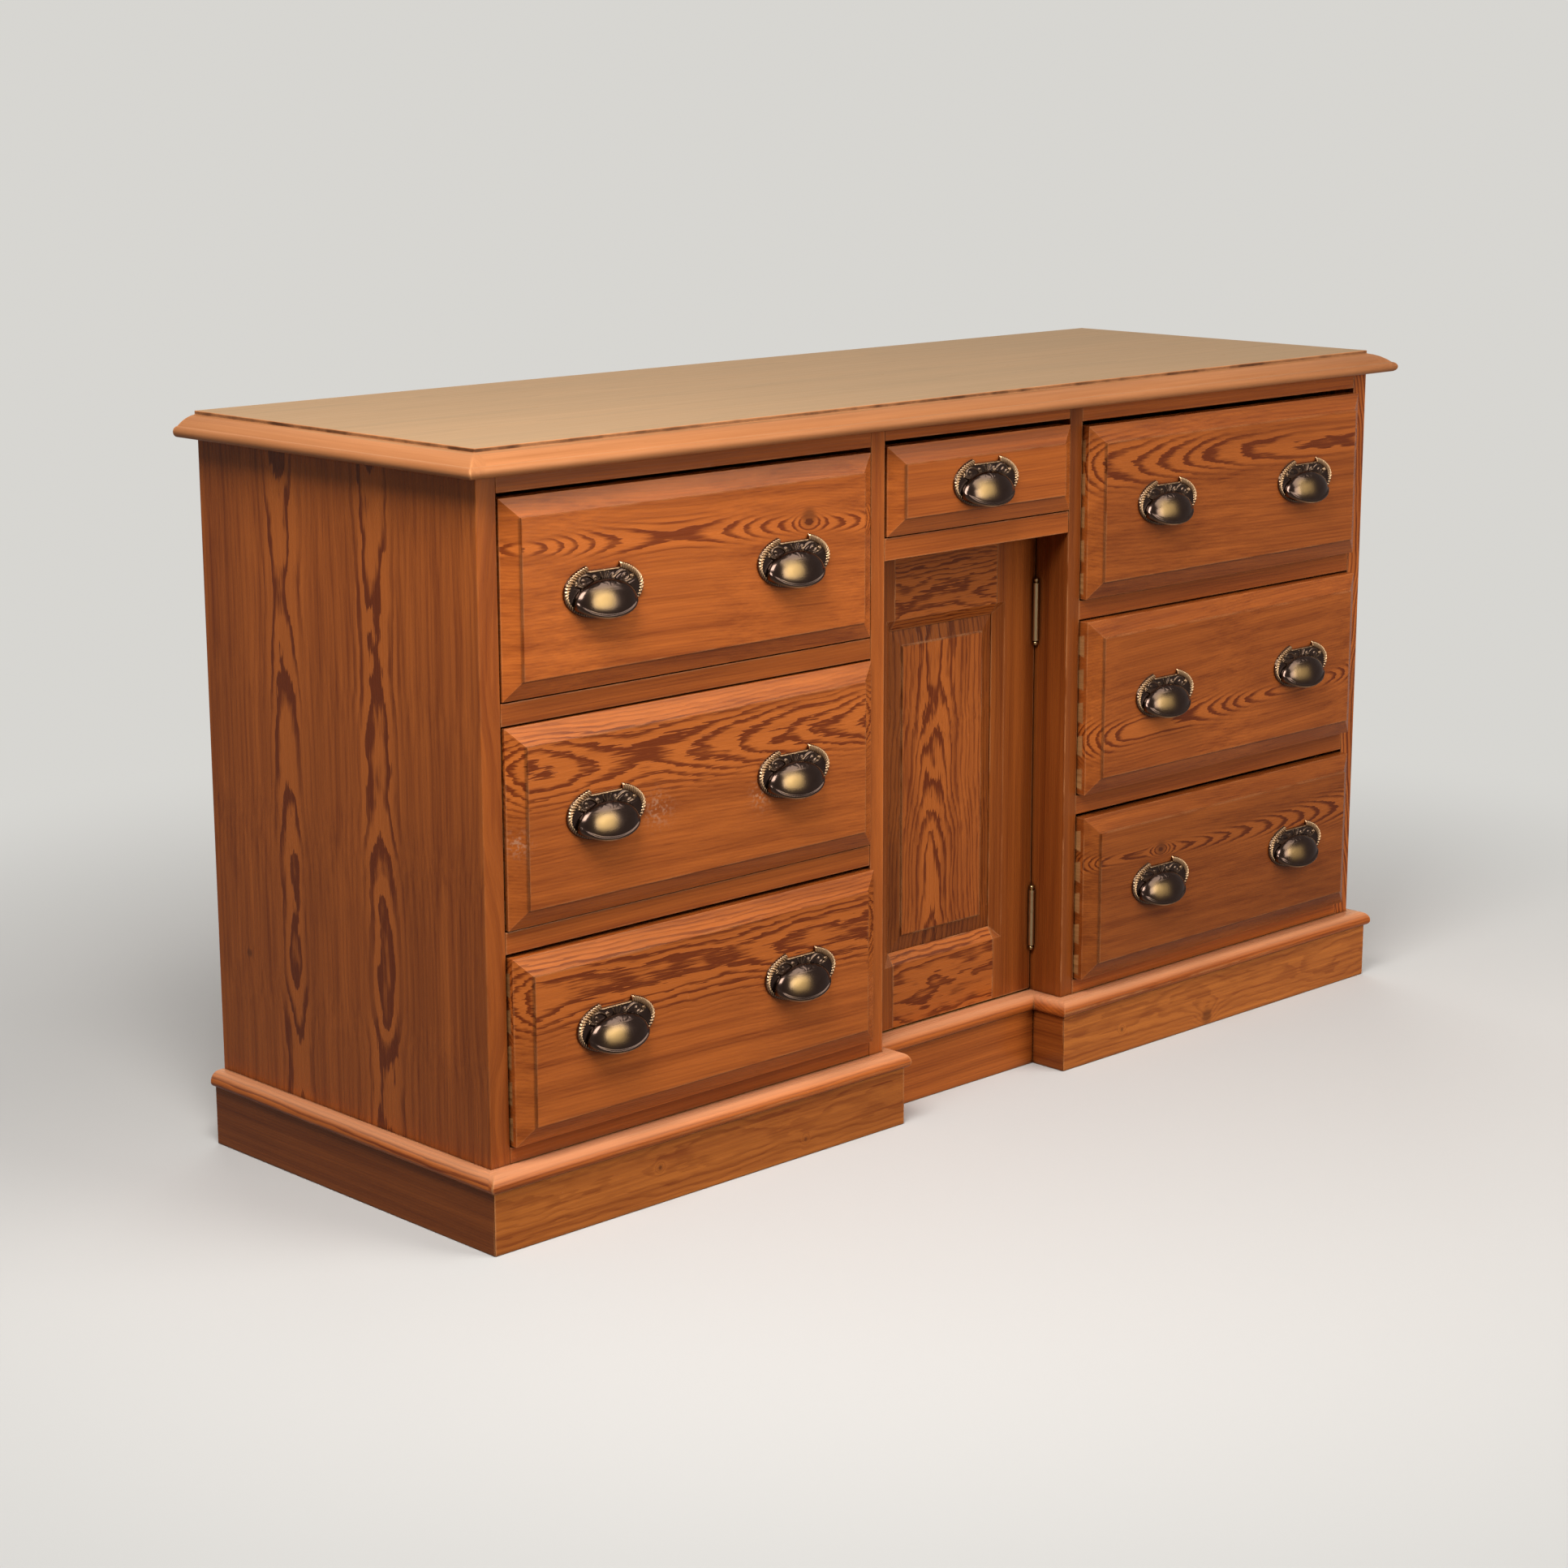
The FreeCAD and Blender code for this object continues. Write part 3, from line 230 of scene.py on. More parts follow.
def buildPineGroup(grains, look):
    tree, given, made = newGroup("pitchPine", [
        ("Along", "f"), ("Across", "f"), ("Depth", "f", 0.03), ("Spacing", "f", 0.0032),
        ("Phase", "f"), ("Waver", "f", 0.0012), ("Feather", "f", 0.0004),
        ("Quiet", "f", 0.12), ("Strength", "f", 1.0), ("Seed", "f"),
        ("Knot", "f"), ("Core", "f"),
        ("Pale", "c", (0.5, 0.16, 0.04, 1)), ("Dark", "c", (0.13, 0.026, 0.008, 1)),
    ], [("Color", "c"), ("Roughness", "f"), ("Height", "f")])
    times, plus, minus = arithmetic(tree)

    def grain(kind):
        along, across, detail, shift, *roughness = grains[kind]
        spot = joined(tree, times(given["Along"], along), times(given["Across"], across),
                      times(given["Depth"], across))
        return noise(tree, spot, 1.0, detail, plus(given["Seed"], shift), *roughness)

    def swing(value, amount):
        return times(minus(value, 0.5), amount)

    broad = swing(grain("broad"), times(given["Waver"], look["broadWaver"]))
    small = swing(grain("small"), times(given["Waver"], look["smallWaver"]))
    across = plus(given["Across"], swing(grain("sway"), look["sway"]))
    depth = plus(plus(given["Depth"], broad), small)
    radius = sums(tree, "SQRT", plus(times(across, across), times(depth, depth)))
    steep = sums(tree, "DIVIDE", sums(tree, "ABSOLUTE", across), plus(radius, 0.0005))
    feather = swing(grain("feather"), times(given["Feather"], look["featherSwing"]))
    eyed = sums(tree, "MULTIPLY_ADD", given["Knot"], look["knotPull"], plus(radius, feather))
    count = plus(sums(tree, "DIVIDE", eyed, given["Spacing"]), given["Phase"])
    scale, shift, amount = look["uneven"]
    uneven = noise(tree, joined(tree, times(radius, scale), 0.0, 0.0), 1.0, 1.0,
                   plus(given["Seed"], shift))
    year = sums(tree, "FRACT", plus(count, swing(uneven, amount)))  # 0 spring, 1 summer's end
    late = times(ramp(tree, year, *look["lateGrows"]),
                 ramp(tree, year, *look["lateStops"], 1.0, 0.0))
    show = times(ramp(tree, minus(1.0, steep), *look["flatCut"], given["Quiet"], 1.0),
                 given["Strength"])
    late = plus(look["lateMean"], times(minus(late, look["lateMean"]), show))

    streak, band, tone = (grain(kind) for kind in ("streak", "band", "tone"))
    fleck = ramp(tree, grain("fleck"), *look["fleckFrom"])
    lines = plus(swing(streak, look["lines"][0]), swing(band, look["lines"][1]))
    body = blendColour(tree, plus(late, lines, clamp=True), given["Pale"], given["Dark"])
    toneShade, streakShade, fleckShade = look["shade"]
    shade = plus(1.0, plus(swing(tone, toneShade), swing(streak, streakShade)))
    shade = minus(shade, times(fleck, fleckShade))
    warm = joined(tree, shade, *(sums(tree, "POWER", shade, power) for power in look["warmth"]))
    body = blendColour(tree, 1.0, body, warm, "MULTIPLY")
    body = blendColour(tree, times(given["Core"], look["coreShare"]), body, look["core"])
    feed(tree, made["Color"], body)
    base, streakRough, fleckRough = look["roughness"]
    rough = plus(swing(streak, streakRough), times(fleck, fleckRough))
    feed(tree, made["Roughness"], plus(base, rough))
    lateRise, streakRise, fleckFall = look["relief"]
    height = plus(times(late, lateRise), times(streak, streakRise))
    feed(tree, made["Height"], minus(height, times(fleck, fleckFall)))
    return tree


def buildKnotGroup(core=(0.22, 0.72)):  # a swelling round a knot, and its dark core
    tree, given, made = newGroup(
        "pineKnot", [("Spot", "v"), ("Centre", "v"), ("Size", "f", 0.01)],
        [("Swell", "f"), ("Core", "f")])
    times = arithmetic(tree)[0]
    gap = vectors(tree, "DISTANCE", given["Spot"], given["Centre"])["Value"]
    ratio = sums(tree, "DIVIDE", gap, given["Size"])
    feed(tree, made["Swell"], sums(tree, "EXPONENT", times(times(ratio, ratio), -1.0)))
    feed(tree, made["Core"], ramp(tree, ratio, *core, 1.0, 0.0))
    return tree


wearAndCornerShade = {
    "edge": (0.995, 0.88),  # agreement of the rounded and the true normal
    "patchScale": 26.0,
    "patches": (0.34, 0.60),
    "cornerReach": 0.006,  # m, how far the dirt and painted shade reach from a corner
    # how dark corners get: dirt and painted shade
    "dirtAndShade": (0.16, 0.55),
    "scuffScale": 60.0,
    "scuffs": (0.70, 0.78),
}


def buildWearAndShadeGroup(look):  # rubbed arrises, dirt and painted shade in the corners from ambient occlusion, and dull scuffs
    tree, given, made = newGroup(
        "wearAndShade", [("Spot", "v"), ("Reach", "f", 0.003), ("Seed", "f")],
        [("Rubbed", "f"), ("DirtAndShade", "f"), ("Scuff", "f")])
    times, plus, minus = arithmetic(tree)
    rounded = addNode(tree, "ShaderNodeBevel", samples=4)
    feed(tree, rounded.inputs["Radius"], given["Reach"])
    normal = addNode(tree, "ShaderNodeNewGeometry").outputs["Normal"]
    agree = vectors(tree, "DOT_PRODUCT", rounded.outputs[0], normal)["Value"]
    patchy = noise(tree, given["Spot"], look["patchScale"], 3.0, given["Seed"])
    # ambient occlusion: dirt and painted shade in corners
    corner = addNode(tree, "ShaderNodeAmbientOcclusion", samples=4)
    corner.inputs["Distance"].default_value = look["cornerReach"]
    near = times(minus(1.0, corner.outputs["AO"]), plus(patchy, 0.5))
    marks = noise(tree, given["Spot"], look["scuffScale"], 4.0, plus(given["Seed"], 2.0))
    feed(tree, made["Rubbed"], times(ramp(tree, agree, *look["edge"]),
                                     ramp(tree, patchy, *look["patches"])))
    feed(tree, made["DirtAndShade"], ramp(tree, near, *look["dirtAndShade"]))
    feed(tree, made["Scuff"], ramp(tree, marks, *look["scuffs"]))
    return tree


quirk = {  # m, outwards from the edge of the raised field
    "middle": 0.0007,
    "width": (0.0004, 0.0022),  # full, gone
    "upper": (-0.002, 0.0),  # where the upper edge's fainter painted shadow line begins, as that edge faces the light
    "upperShare": 0.3,
    # the bevel outside the field, which gets painted shade
    "bevel": (-0.0004, 0.0004),
}


def buildQuirkGroup(look):  # a painted shadow line at the foot of a raised field, and a mask of the bevel outside it for painted shade
    tree, given, made = newGroup(
        "quirkLine", [("Spot", "v"), ("Centre", "v"), ("Half", "v")],
        [("Line", "f"), ("Outside", "f")])
    times, _, minus = arithmetic(tree)
    signed = apart(tree, vectors(tree, "SUBTRACT", given["Spot"], given["Centre"])["Vector"])
    half = apart(tree, given["Half"])
    past = sums(tree, "MAXIMUM",
                *(minus(sums(tree, "ABSOLUTE", signed[k]), half[k]) for k in ("X", "Z")))
    away = sums(tree, "ABSOLUTE", minus(past, look["middle"]))
    above = ramp(tree, minus(signed["Z"], half["Z"]), *look["upper"], 1.0, look["upperShare"])
    feed(tree, made["Line"], times(ramp(tree, away, *look["width"], 1.0, 0.0), above))
    feed(tree, made["Outside"], ramp(tree, past, *look["bevel"]))
    return tree


def buildSheenGroup():  # upper faces painted paler: a painted sheen of reflected light
    tree, given, made = newGroup(
        "paintedTopSheen", [("Color", "c"), ("Faded", "c"), ("From", "f", 0.975),
                      ("To", "f", 0.998), ("Share", "f", 0.75)], [("Color", "c")])
    sheenShare = ramp(tree, upwardness(tree), given["From"], given["To"], 0.0, given["Share"])
    feed(tree, made["Color"], blendColour(tree, sheenShare, given["Color"], given["Faded"]))
    return tree


def buildStripGroup():  # past its edge, a glued board has a heart, depth and seed of its own
    tree, given, made = newGroup("gluedBoard", [
        ("Across", "f"), ("Edge", "f"), ("Line", "f"), ("Depth", "f"),
        ("Seed", "f"), ("OwnLine", "f"), ("OwnDepth", "f", 0.05), ("Step", "f", 5.3),
    ], [("Line", "f"), ("Depth", "f"), ("Seed", "f")])
    times, plus, minus = arithmetic(tree)
    past = sums(tree, "GREATER_THAN", given["Across"], given["Edge"])
    for part in ("Line", "Depth"):
        change = minus(given["Own" + part], given[part])
        feed(tree, made[part], plus(given[part], times(past, change)))
    feed(tree, made["Seed"], plus(given["Seed"], times(past, given["Step"])))
    return tree


def buildTurnGroup():  # grain that runs from front to back where it is turned
    tree, given, made = newGroup(
        "turnedGrain", [("X", "f"), ("Y", "f"), ("Turned", "f")],
        [("X", "f"), ("Y", "f")])
    for own, other in (("X", "Y"), ("Y", "X")):
        change = sums(tree, "SUBTRACT", given[other], given[own])
        feed(tree, made[own], sums(tree, "MULTIPLY_ADD", given["Turned"], change, given[own]))
    return tree


pineGroup = buildPineGroup(pineGrain, pineLook)
knotGroup = buildKnotGroup()
wearAndShadeGroup = buildWearAndShadeGroup(wearAndCornerShade)
quirkGroup = buildQuirkGroup(quirk)
sheenGroup = buildSheenGroup()
stripGroup = buildStripGroup()
turnGroup = buildTurnGroup()
print("shared effects built")


# stained boards

stain = {  # linear colours of the stained pine
    "pale": (0.50, 0.128, 0.022, 1),
    "dark": (0.165, 0.029, 0.006, 1),
    "rubbed": (0.62, 0.27, 0.105, 1),
    "scuffed": (0.50, 0.27, 0.16, 1),
    "sheen": (1.0, 0.74, 0.48, 1),  # amber of the old polish
    # dark colour for dirt, and for painted shade and shadow lines
    "dirtAndShade": (0.030, 0.009, 0.004, 1),
}
plainBoard = {  # what each board has unless it says otherwise; lengths in m
    "axes": "xzy",  # the grain's direction, the way across the face, the way through the board
    "span": (-0.75, 0.75),  # the ends, along the grain
    "heart": 0.0,  # where the middle of the rings lies across the face
    "slope": 0.0,  # how that drifts along the board
    "depth": 0.05,  # how deep it lies behind the face
    "rise": None,  # how the depth changes from end to end: share of the span, mm
    "face": 0.0,  # where the face lies on the way through
    "strips": (),  # glued boards: edge, heart, depth
    "mitre": None,  # end and front planes of a piece that turns the corner
    "crossFrom": None,  # past this depth, boards lie across the others
    "spacing": 0.0032, "phase": 0.0, "waver": 0.0012, "feather": 0.0004, "strength": 1.0,
    "quiet": 0.12,  # share of the figure left where the rings stand steep
    "topOnly": False,  # figure on the upper face alone
    "seed": 0.0,
    "knots": (), "scuffs": (),  # middle, size
    "tone": 1.0, "pale": stain["pale"], "dark": stain["dark"],
    "paintedSheen": None, "sheenFrom": (0.975, 0.998),  # a paler colour painted on upper faces as a painted sheen, and the upwardness where it begins and is full
    "groove": None,  # heights between which a step's upright face gets a painted shadow line
    "field": None, "bevelShade": 0.0,  # the raised field's middle and half size, and the painted shade on the bevels round it
    # the dirt amount also sets the painted shade in corners
    "rubbed": 0.75, "reach": 0.003, "dirtAndShade": 0.8, "specular": 0.32, "gloss": 0.0,
}
boardLook = {  # the same on every board
    "curveTop": 100,  # mm, the full height of a rise's curve
    "through": 0.45,  # how far the rings follow the way through
    "topFaces": (0.96, 0.995),
    "grooveSoft": 0.0006,  # m
    "grooveShade": 0.85,
    "grooveFaces": (0.3, 0.8),
    "quirkShade": 0.4,
    "scuffScale": 240.0,
    "scuffBreaks": (0.48, 0.62),
    "scuffShare": 0.65,
    "scuffDull": 0.25,
    "bump": (0.25, 0.0006),  # strength, m
}


def toned(colour, tone):
    return [part * tone for part in colour[:3]] + [1]


def grainAxes(tree, board, spot):
    x, y, z = apart(tree, spot)
    turned = None
    if board["mitre"]:  # lengths past the end plane run from front to back
        endPlane, frontPlane = board["mitre"]
        pastEnd = sums(tree, "SUBTRACT", sums(tree, "ABSOLUTE", x), endPlane)
        pastFront = sums(tree, "SUBTRACT", sums(tree, "MULTIPLY", y, -1.0), frontPlane)
        turned = sums(tree, "GREATER_THAN", pastEnd, sums(tree, "MAXIMUM", pastFront, 0.0))
    if board["crossFrom"] is not None:
        turned = sums(tree, "GREATER_THAN", y, board["crossFrom"])
    if turned:
        x, y = place(tree, turnGroup, X=x, Y=y, Turned=turned)
    return [{"x": x, "y": y, "z": z}[axis] for axis in board["axes"]]


def ringMiddle(tree, board, along, across, through, look=boardLook):
    low, high = board["span"]
    line = sums(tree, "MULTIPLY_ADD", sums(tree, "SUBTRACT", along, (low + high) / 2),
                board["slope"], board["heart"])
    depth, seed = board["depth"], board["seed"]
    for edge, ownLine, ownDepth in board["strips"]:
        line, depth, seed = place(tree, stripGroup, Across=across, Edge=edge, Line=line,
                                  Depth=depth, Seed=seed, OwnLine=ownLine, OwnDepth=ownDepth)
    if board["rise"]:
        curve = addNode(tree, "ShaderNodeFloatCurve")
        points = curve.mapping.curves[0].points
        while len(points) < len(board["rise"]):
            points.new(0.5, 0.5)
        for point, (share, mm) in zip(points, board["rise"]):
            point.location = (share, mm / look["curveTop"])
        curve.mapping.update()
        feed(tree, curve.inputs["Value"], ramp(tree, along, low, high, smooth=False))
        risen = sums(tree, "MULTIPLY", curve.outputs[0], look["curveTop"] / 1000)
        depth = sums(tree, "ADD", risen, depth)
    inward = sums(tree, "SUBTRACT", through, board["face"])
    return line, sums(tree, "MULTIPLY_ADD", inward, look["through"], depth), seed


# a painted shadow line on the upright face of a small step
def paintedGrooveShadow(tree, spot, low, high, look=boardLook):
    times = arithmetic(tree)[0]
    height = apart(tree, spot)["Z"]
    between = times(ramp(tree, height, low, low + look["grooveSoft"]),
                    ramp(tree, height, high - look["grooveSoft"], high, 1.0, 0.0))
    faces = ramp(tree, upwardness(tree), *look["grooveFaces"], look["grooveShade"], 0.0)
    return times(between, faces)


def boardMaterial(name, look=boardLook, **changes):
    board = {**plainBoard, **changes}
    material, tree, shader = newMaterial(name)
    times = arithmetic(tree)[0]
    spot = ownSpot(tree)
    along, across, through = grainAxes(tree, board, spot)
    line, depth, seed = ringMiddle(tree, board, along, across, through)
    swell, core = 0.0, 0.0
    for centre, size in board["knots"]:
        knot = place(tree, knotGroup, Spot=spot, Centre=centre, Size=size)
        swell = sums(tree, "ADD", swell, knot["Swell"])
        core = sums(tree, "MAXIMUM", core, knot["Core"])
    strength = board["strength"]
    if board["topOnly"]:
        strength = ramp(tree, upwardness(tree), *look["topFaces"], 0.0, strength)
    rings = {k.title(): board[k] for k in ("spacing", "phase", "waver", "feather", "quiet")}
    colours = {k.title(): toned(board[k], board["tone"]) for k in ("pale", "dark")}
    wood = place(tree, pineGroup, Along=along, Across=sums(tree, "SUBTRACT", across, line),
                 Depth=depth, Strength=strength, Seed=seed, Knot=swell, Core=core,
                 **rings, **colours)
    edgesAndCorners = place(tree, wearAndShadeGroup, Spot=spot, Seed=board["seed"], Reach=board["reach"])

    colour = wood["Color"]
    # upper faces painted paler: a painted sheen of reflected light
    if board["paintedSheen"]:
        start, full = board["sheenFrom"]
        colour = place(tree, sheenGroup, Color=colour, Faded=board["paintedSheen"], From=start, To=full)[0]
    overlays = []  # mask and colour, in the order they are laid on the wood: painted shadow lines and shade, scuffs, rubbed edges, then dirt and painted corner shade
    if board["groove"]:
        # painted shadow in the step below a flat top
        overlays.append((paintedGrooveShadow(tree, spot, *board["groove"]), stain["dirtAndShade"]))
    if board["field"]:
        # painted shadow line round the raised field, and painted shade on its bevels
        middle, half = board["field"]
        raised = place(tree, quirkGroup, Spot=spot, Centre=middle, Half=half)
        overlays.append((times(raised["Line"], look["quirkShade"]), stain["dirtAndShade"]))
        overlays.append((times(raised["Outside"], board["bevelShade"]), stain["dirtAndShade"]))
    for centre, size in board["scuffs"]:
        blot = place(tree, knotGroup, Spot=spot, Centre=centre, Size=size)["Swell"]
        broken = ramp(tree, noise(tree, spot, look["scuffScale"], 4.0, board["seed"]),
                      *look["scuffBreaks"], 0.0, look["scuffShare"])
        overlays.append((times(blot, broken), stain["scuffed"]))
    overlays.append((times(edgesAndCorners["Rubbed"], board["rubbed"]), stain["rubbed"]))
    # dirt and painted shade in corners and small steps
    overlays.append((times(edgesAndCorners["DirtAndShade"], board["dirtAndShade"]), stain["dirtAndShade"]))
    for mask, overlayColour in overlays:
        colour = blendColour(tree, mask, colour, overlayColour)
    feed(tree, shader.inputs["Base Color"], colour)
    rough = sums(tree, "SUBTRACT", wood["Roughness"], board["gloss"])
    rough = sums(tree, "MULTIPLY_ADD", edgesAndCorners["Scuff"], look["scuffDull"], rough)
    feed(tree, shader.inputs["Roughness"], rough)
    shader.inputs["Specular IOR Level"].default_value = board["specular"]
    shader.inputs["Specular Tint"].default_value = stain["sheen"]
    addRelief(tree, shader, wood["Height"], *look["bump"])
    return material


def addArris(piece, width):  # softened edges, as sanded and handled wood has
    weld = piece.modifiers.new("weld", "WELD")
    weld.merge_threshold = 0.00002
    flat = piece.modifiers.new("flat", "DECIMATE")
    flat.decimate_type = "DISSOLVE"
    flat.angle_limit = math.radians(0.5)
    soft = piece.modifiers.new("arris", "BEVEL")
    soft.width = width
    soft.segments = 2
    soft.limit_method = "ANGLE"
    soft.angle_limit = math.radians(25)
    even = piece.modifiers.new("even", "WEIGHTED_NORMAL")
    even.keep_sharp = True


def finishNode(name, material, arris=0.0):
    piece = nodes[name]
    piece.data.materials.clear()
    piece.data.materials.append(material)
    if arris:
        addArris(piece, arris)


# drawer fronts: each has the flame line, chevrons and knots of its own board

leftBank = dict(span=(-0.7092, -0.1798), depth=0.0)
rightBank = dict(span=(0.1798, 0.7092), depth=0.0)
# tone is partly each board's own colour and partly painted shade: the right-hand fronts and the
# lowest are darkened
fronts = {
    "left_top": dict(
        leftBank, heart=0.724, slope=-0.031, face=-0.2321, seed=1.0, waver=0.0006, tone=1.14,
        rise=[(0, 8), (0.03, 9), (0.31, 26), (0.5, 27), (0.74, 15), (0.8, 13), (0.88, 15), (1, 24)],
        knots=[((-0.287, -0.232, 0.7245), 0.021)]),
    "left_mid": dict(
        leftBank, heart=0.496, slope=-0.02, face=-0.2341, seed=2.0, waver=0.0022, strength=1.2,
        feather=0.0009, tone=0.96,
        rise=[(0, 66), (0.1, 67.5), (0.33, 71.5), (0.5, 69), (0.62, 66.5), (0.75, 63.5),
              (0.9, 60.5), (1, 57)],
        scuffs=[((-0.512, -0.234, 0.437), 0.016), ((-0.362, -0.234, 0.428), 0.014),
                ((-0.70, -0.23, 0.43), 0.012)]),
    "left_low": dict(
        leftBank, heart=0.256, slope=-0.03, face=-0.2391, seed=3.0, phase=0.5, waver=0.0018,
        feather=0.0009, strength=1.1, tone=0.97,
        rise=[(0, 72), (0.1, 74.2), (0.35, 74.8), (0.6, 74.4), (0.67, 73), (0.75, 71.6),
              (0.9, 71.2), (1, 69)]),
    "centre": dict(span=(-0.154, 0.154), heart=0.83, face=-0.2331, seed=4.0, depth=0.03),
    "right_top": dict(
        rightBank, heart=0.733, slope=-0.02, face=-0.2401, seed=5.0, tone=0.80, strength=1.1,
        feather=0.0006, waver=0.0016, phase=0.3, spacing=0.0040,
        rise=[(0, 55), (0.05, 53), (0.65, 31), (0.8, 30), (1, 29)]),
    "right_mid": dict(
        rightBank, heart=0.415, slope=0.037, face=-0.2431, seed=6.0, waver=0.0010, strength=1.2,
        tone=0.86,
        rise=[(0, 36), (0.07, 32), (0.12, 30), (0.3, 29.5), (0.38, 28), (0.62, 13), (0.75, 10.5),
              (0.88, 13), (1, 25)]),
    "right_low": dict(
        rightBank, heart=0.249, slope=-0.012, face=-0.2431, seed=7.0, waver=0.0006, tone=0.68,
        strength=1.3, spacing=0.0026,
        rise=[(0, 14), (0.1, 10.5), (0.24, 10), (0.4, 14), (1, 36)],
        knots=[((0.313, -0.243, 0.252), 0.018)]),
}
frontFinish = {"fieldInset": 0.020, "rubbed": 0.4, "arris": 0.0006}


def fieldOf(node, inset):  # the raised field's middle and half size
    low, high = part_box(node)
    return (low + high) / 2, (high - low) / 2 - Vector((inset, 0, inset))


for name, board in fronts.items():
    node = name + "_drawer_front"
    material = boardMaterial("pine_%s_front" % name, rubbed=frontFinish["rubbed"],
                             field=fieldOf(node, frontFinish["fieldInset"]), **board)
    finishNode(node, material, frontFinish["arris"])
print("drawer fronts finished")


# top, carcass, plinth and door

endSpan = (0.069, 0.81)
carcassArris = 0.001
carcassBoards = {
    # the top's paler upper face is a painted sheen, and its groove line a painted shadow
    "top_board": dict(
        axes="xyz", topOnly=True, mitre=(0.737, 0.238), groove=(0.8324, 0.8366), heart=-0.2,
        face=0.837, seed=21.0, quiet=0.25, strength=0.7, waver=0.0016,
        pale=(0.47, 0.185, 0.068, 1), dark=(0.26, 0.086, 0.025, 1), paintedSheen=(0.33, 0.225, 0.122, 1),
        strips=[(-0.15, -0.08, 0.04), (-0.04, 0.02, 0.05), (0.07, 0.12, 0.04), (0.17, 0.2, 0.06)],
        rubbed=1.0, reach=0.005, specular=0.3, gloss=-0.17),
    "left_end": dict(
        axes="zyx", span=endSpan, heart=-0.3, face=-0.737, seed=22.0, waver=0.0042, tone=0.90,
        strength=1.3, feather=0.0008, spacing=0.0072, rubbed=0.25,
        strips=[(-0.172, -0.047, 0.030), (0.034, 0.1155, 0.022)],
        rise=[(0, 17), (0.12, 19), (0.22, 12), (0.36, 14), (0.5, 24), (0.6, 25), (0.72, 30),
              (0.86, 28), (1, 22)],
        knots=[((-0.737, 0.203, 0.236), 0.009)]),
    "right_end": dict(
        axes="zyx", span=endSpan, heart=-0.2, face=0.737, seed=23.0, waver=0.0026, strength=0.9,
        strips=[(-0.14, -0.03, 0.012), (0.05, 0.14, 0.015)],
        rise=[(0, 8), (0.2, 18), (0.4, 26), (0.55, 20), (0.75, 12), (1, 22)]),
    "left_divider": dict(axes="zyx", heart=-0.4, face=-0.17, seed=24.0, tone=0.95),
    # the right divider's low tone is painted shade on the recess wall
    "right_divider": dict(axes="zyx", heart=0.1, face=0.16, seed=25.0, tone=0.62),
    "top_rails": dict(heart=0.9, face=-0.219, seed=26.0),
    "left_bank_rails": dict(heart=0.66, face=-0.219, seed=27.0, tone=0.9),
    "right_bank_rails": dict(heart=0.68, face=-0.219, seed=28.0, tone=0.85),
    "centre_rail": dict(heart=0.8, face=-0.219, seed=29.0),
    "bottom_boards": dict(heart=0.2, face=-0.219, seed=30.0),
    "plinth_fronts": dict(
        heart=0.045, face=-0.239, seed=31.0, tone=1.10, depth=0.09, strength=0.25, waver=0.0026,
        spacing=0.0026, pale=(0.52, 0.158, 0.028, 1),
        knots=[((0.418, -0.239, 0.012), 0.019), ((-0.52, -0.239, 0.041), 0.006),
               ((0.25, -0.239, 0.03), 0.005), ((-0.3, -0.239, 0.02), 0.005)]),
    "plinth_centre": dict(heart=0.2, face=-0.189, seed=32.0),
    # the plinth's sides have a low tone as painted shade
    "plinth_sides": dict(axes="yzx", heart=0.2, face=-0.75, seed=33.0, tone=0.68),
    "plinth_returns": dict(axes="yzx", heart=0.3, face=-0.16, seed=34.0, tone=0.8),
    # the moulding's raised tone and paler upward faces are a painted highlight
    "plinth_moulding": dict(
        mitre=(0.737, 0.219), heart=0.16, face=-0.245, seed=35.0, quiet=0.3, tone=1.15,
        rubbed=0.8, reach=0.004, paintedSheen=(0.74, 0.34, 0.17, 1), sheenFrom=(0.25, 1.1)),
    # the door's boards have a low tone as painted shade in the recess; the door panel's bevel
    # setting paints shade round its field
    "door_panel": dict(
        axes="zxy", span=(0.172, 0.571), heart=-0.014, face=-0.1636, seed=36.0, depth=0.0,
        spacing=0.0055, waver=0.0052, quiet=0.4, strength=1.2, feather=0.0012, tone=0.86,
        rise=[(0, 30), (0.15, 37), (0.3, 38), (0.5, 47), (0.62, 48), (0.8, 57), (1, 55)],
        field=fieldOf("door_panel", 0.0265), bevelShade=0.4),
    "door_top_rail": dict(heart=0.60, face=-0.169, seed=37.0, depth=0.09, waver=0.0035,
                          spacing=0.0026, quiet=0.5, feather=0.0009, tone=0.74),
    "door_bottom_rail": dict(heart=0.135, face=-0.169, seed=38.0, depth=0.12, waver=0.0048,
                             spacing=0.004, quiet=0.4, feather=0.0010, tone=0.86),
    "door_hinge_stile": dict(axes="zxy", heart=0.25, face=-0.169, seed=39.0, tone=0.66),
    "door_lock_stile": dict(axes="zxy", heart=-0.25, face=-0.169, seed=40.0, tone=0.66),
}
for name, board in carcassBoards.items():
    finishNode(name, boardMaterial("pine_" + name, **board), carcassArris)
print("carcass, plinth and door finished")


# bare inner boards

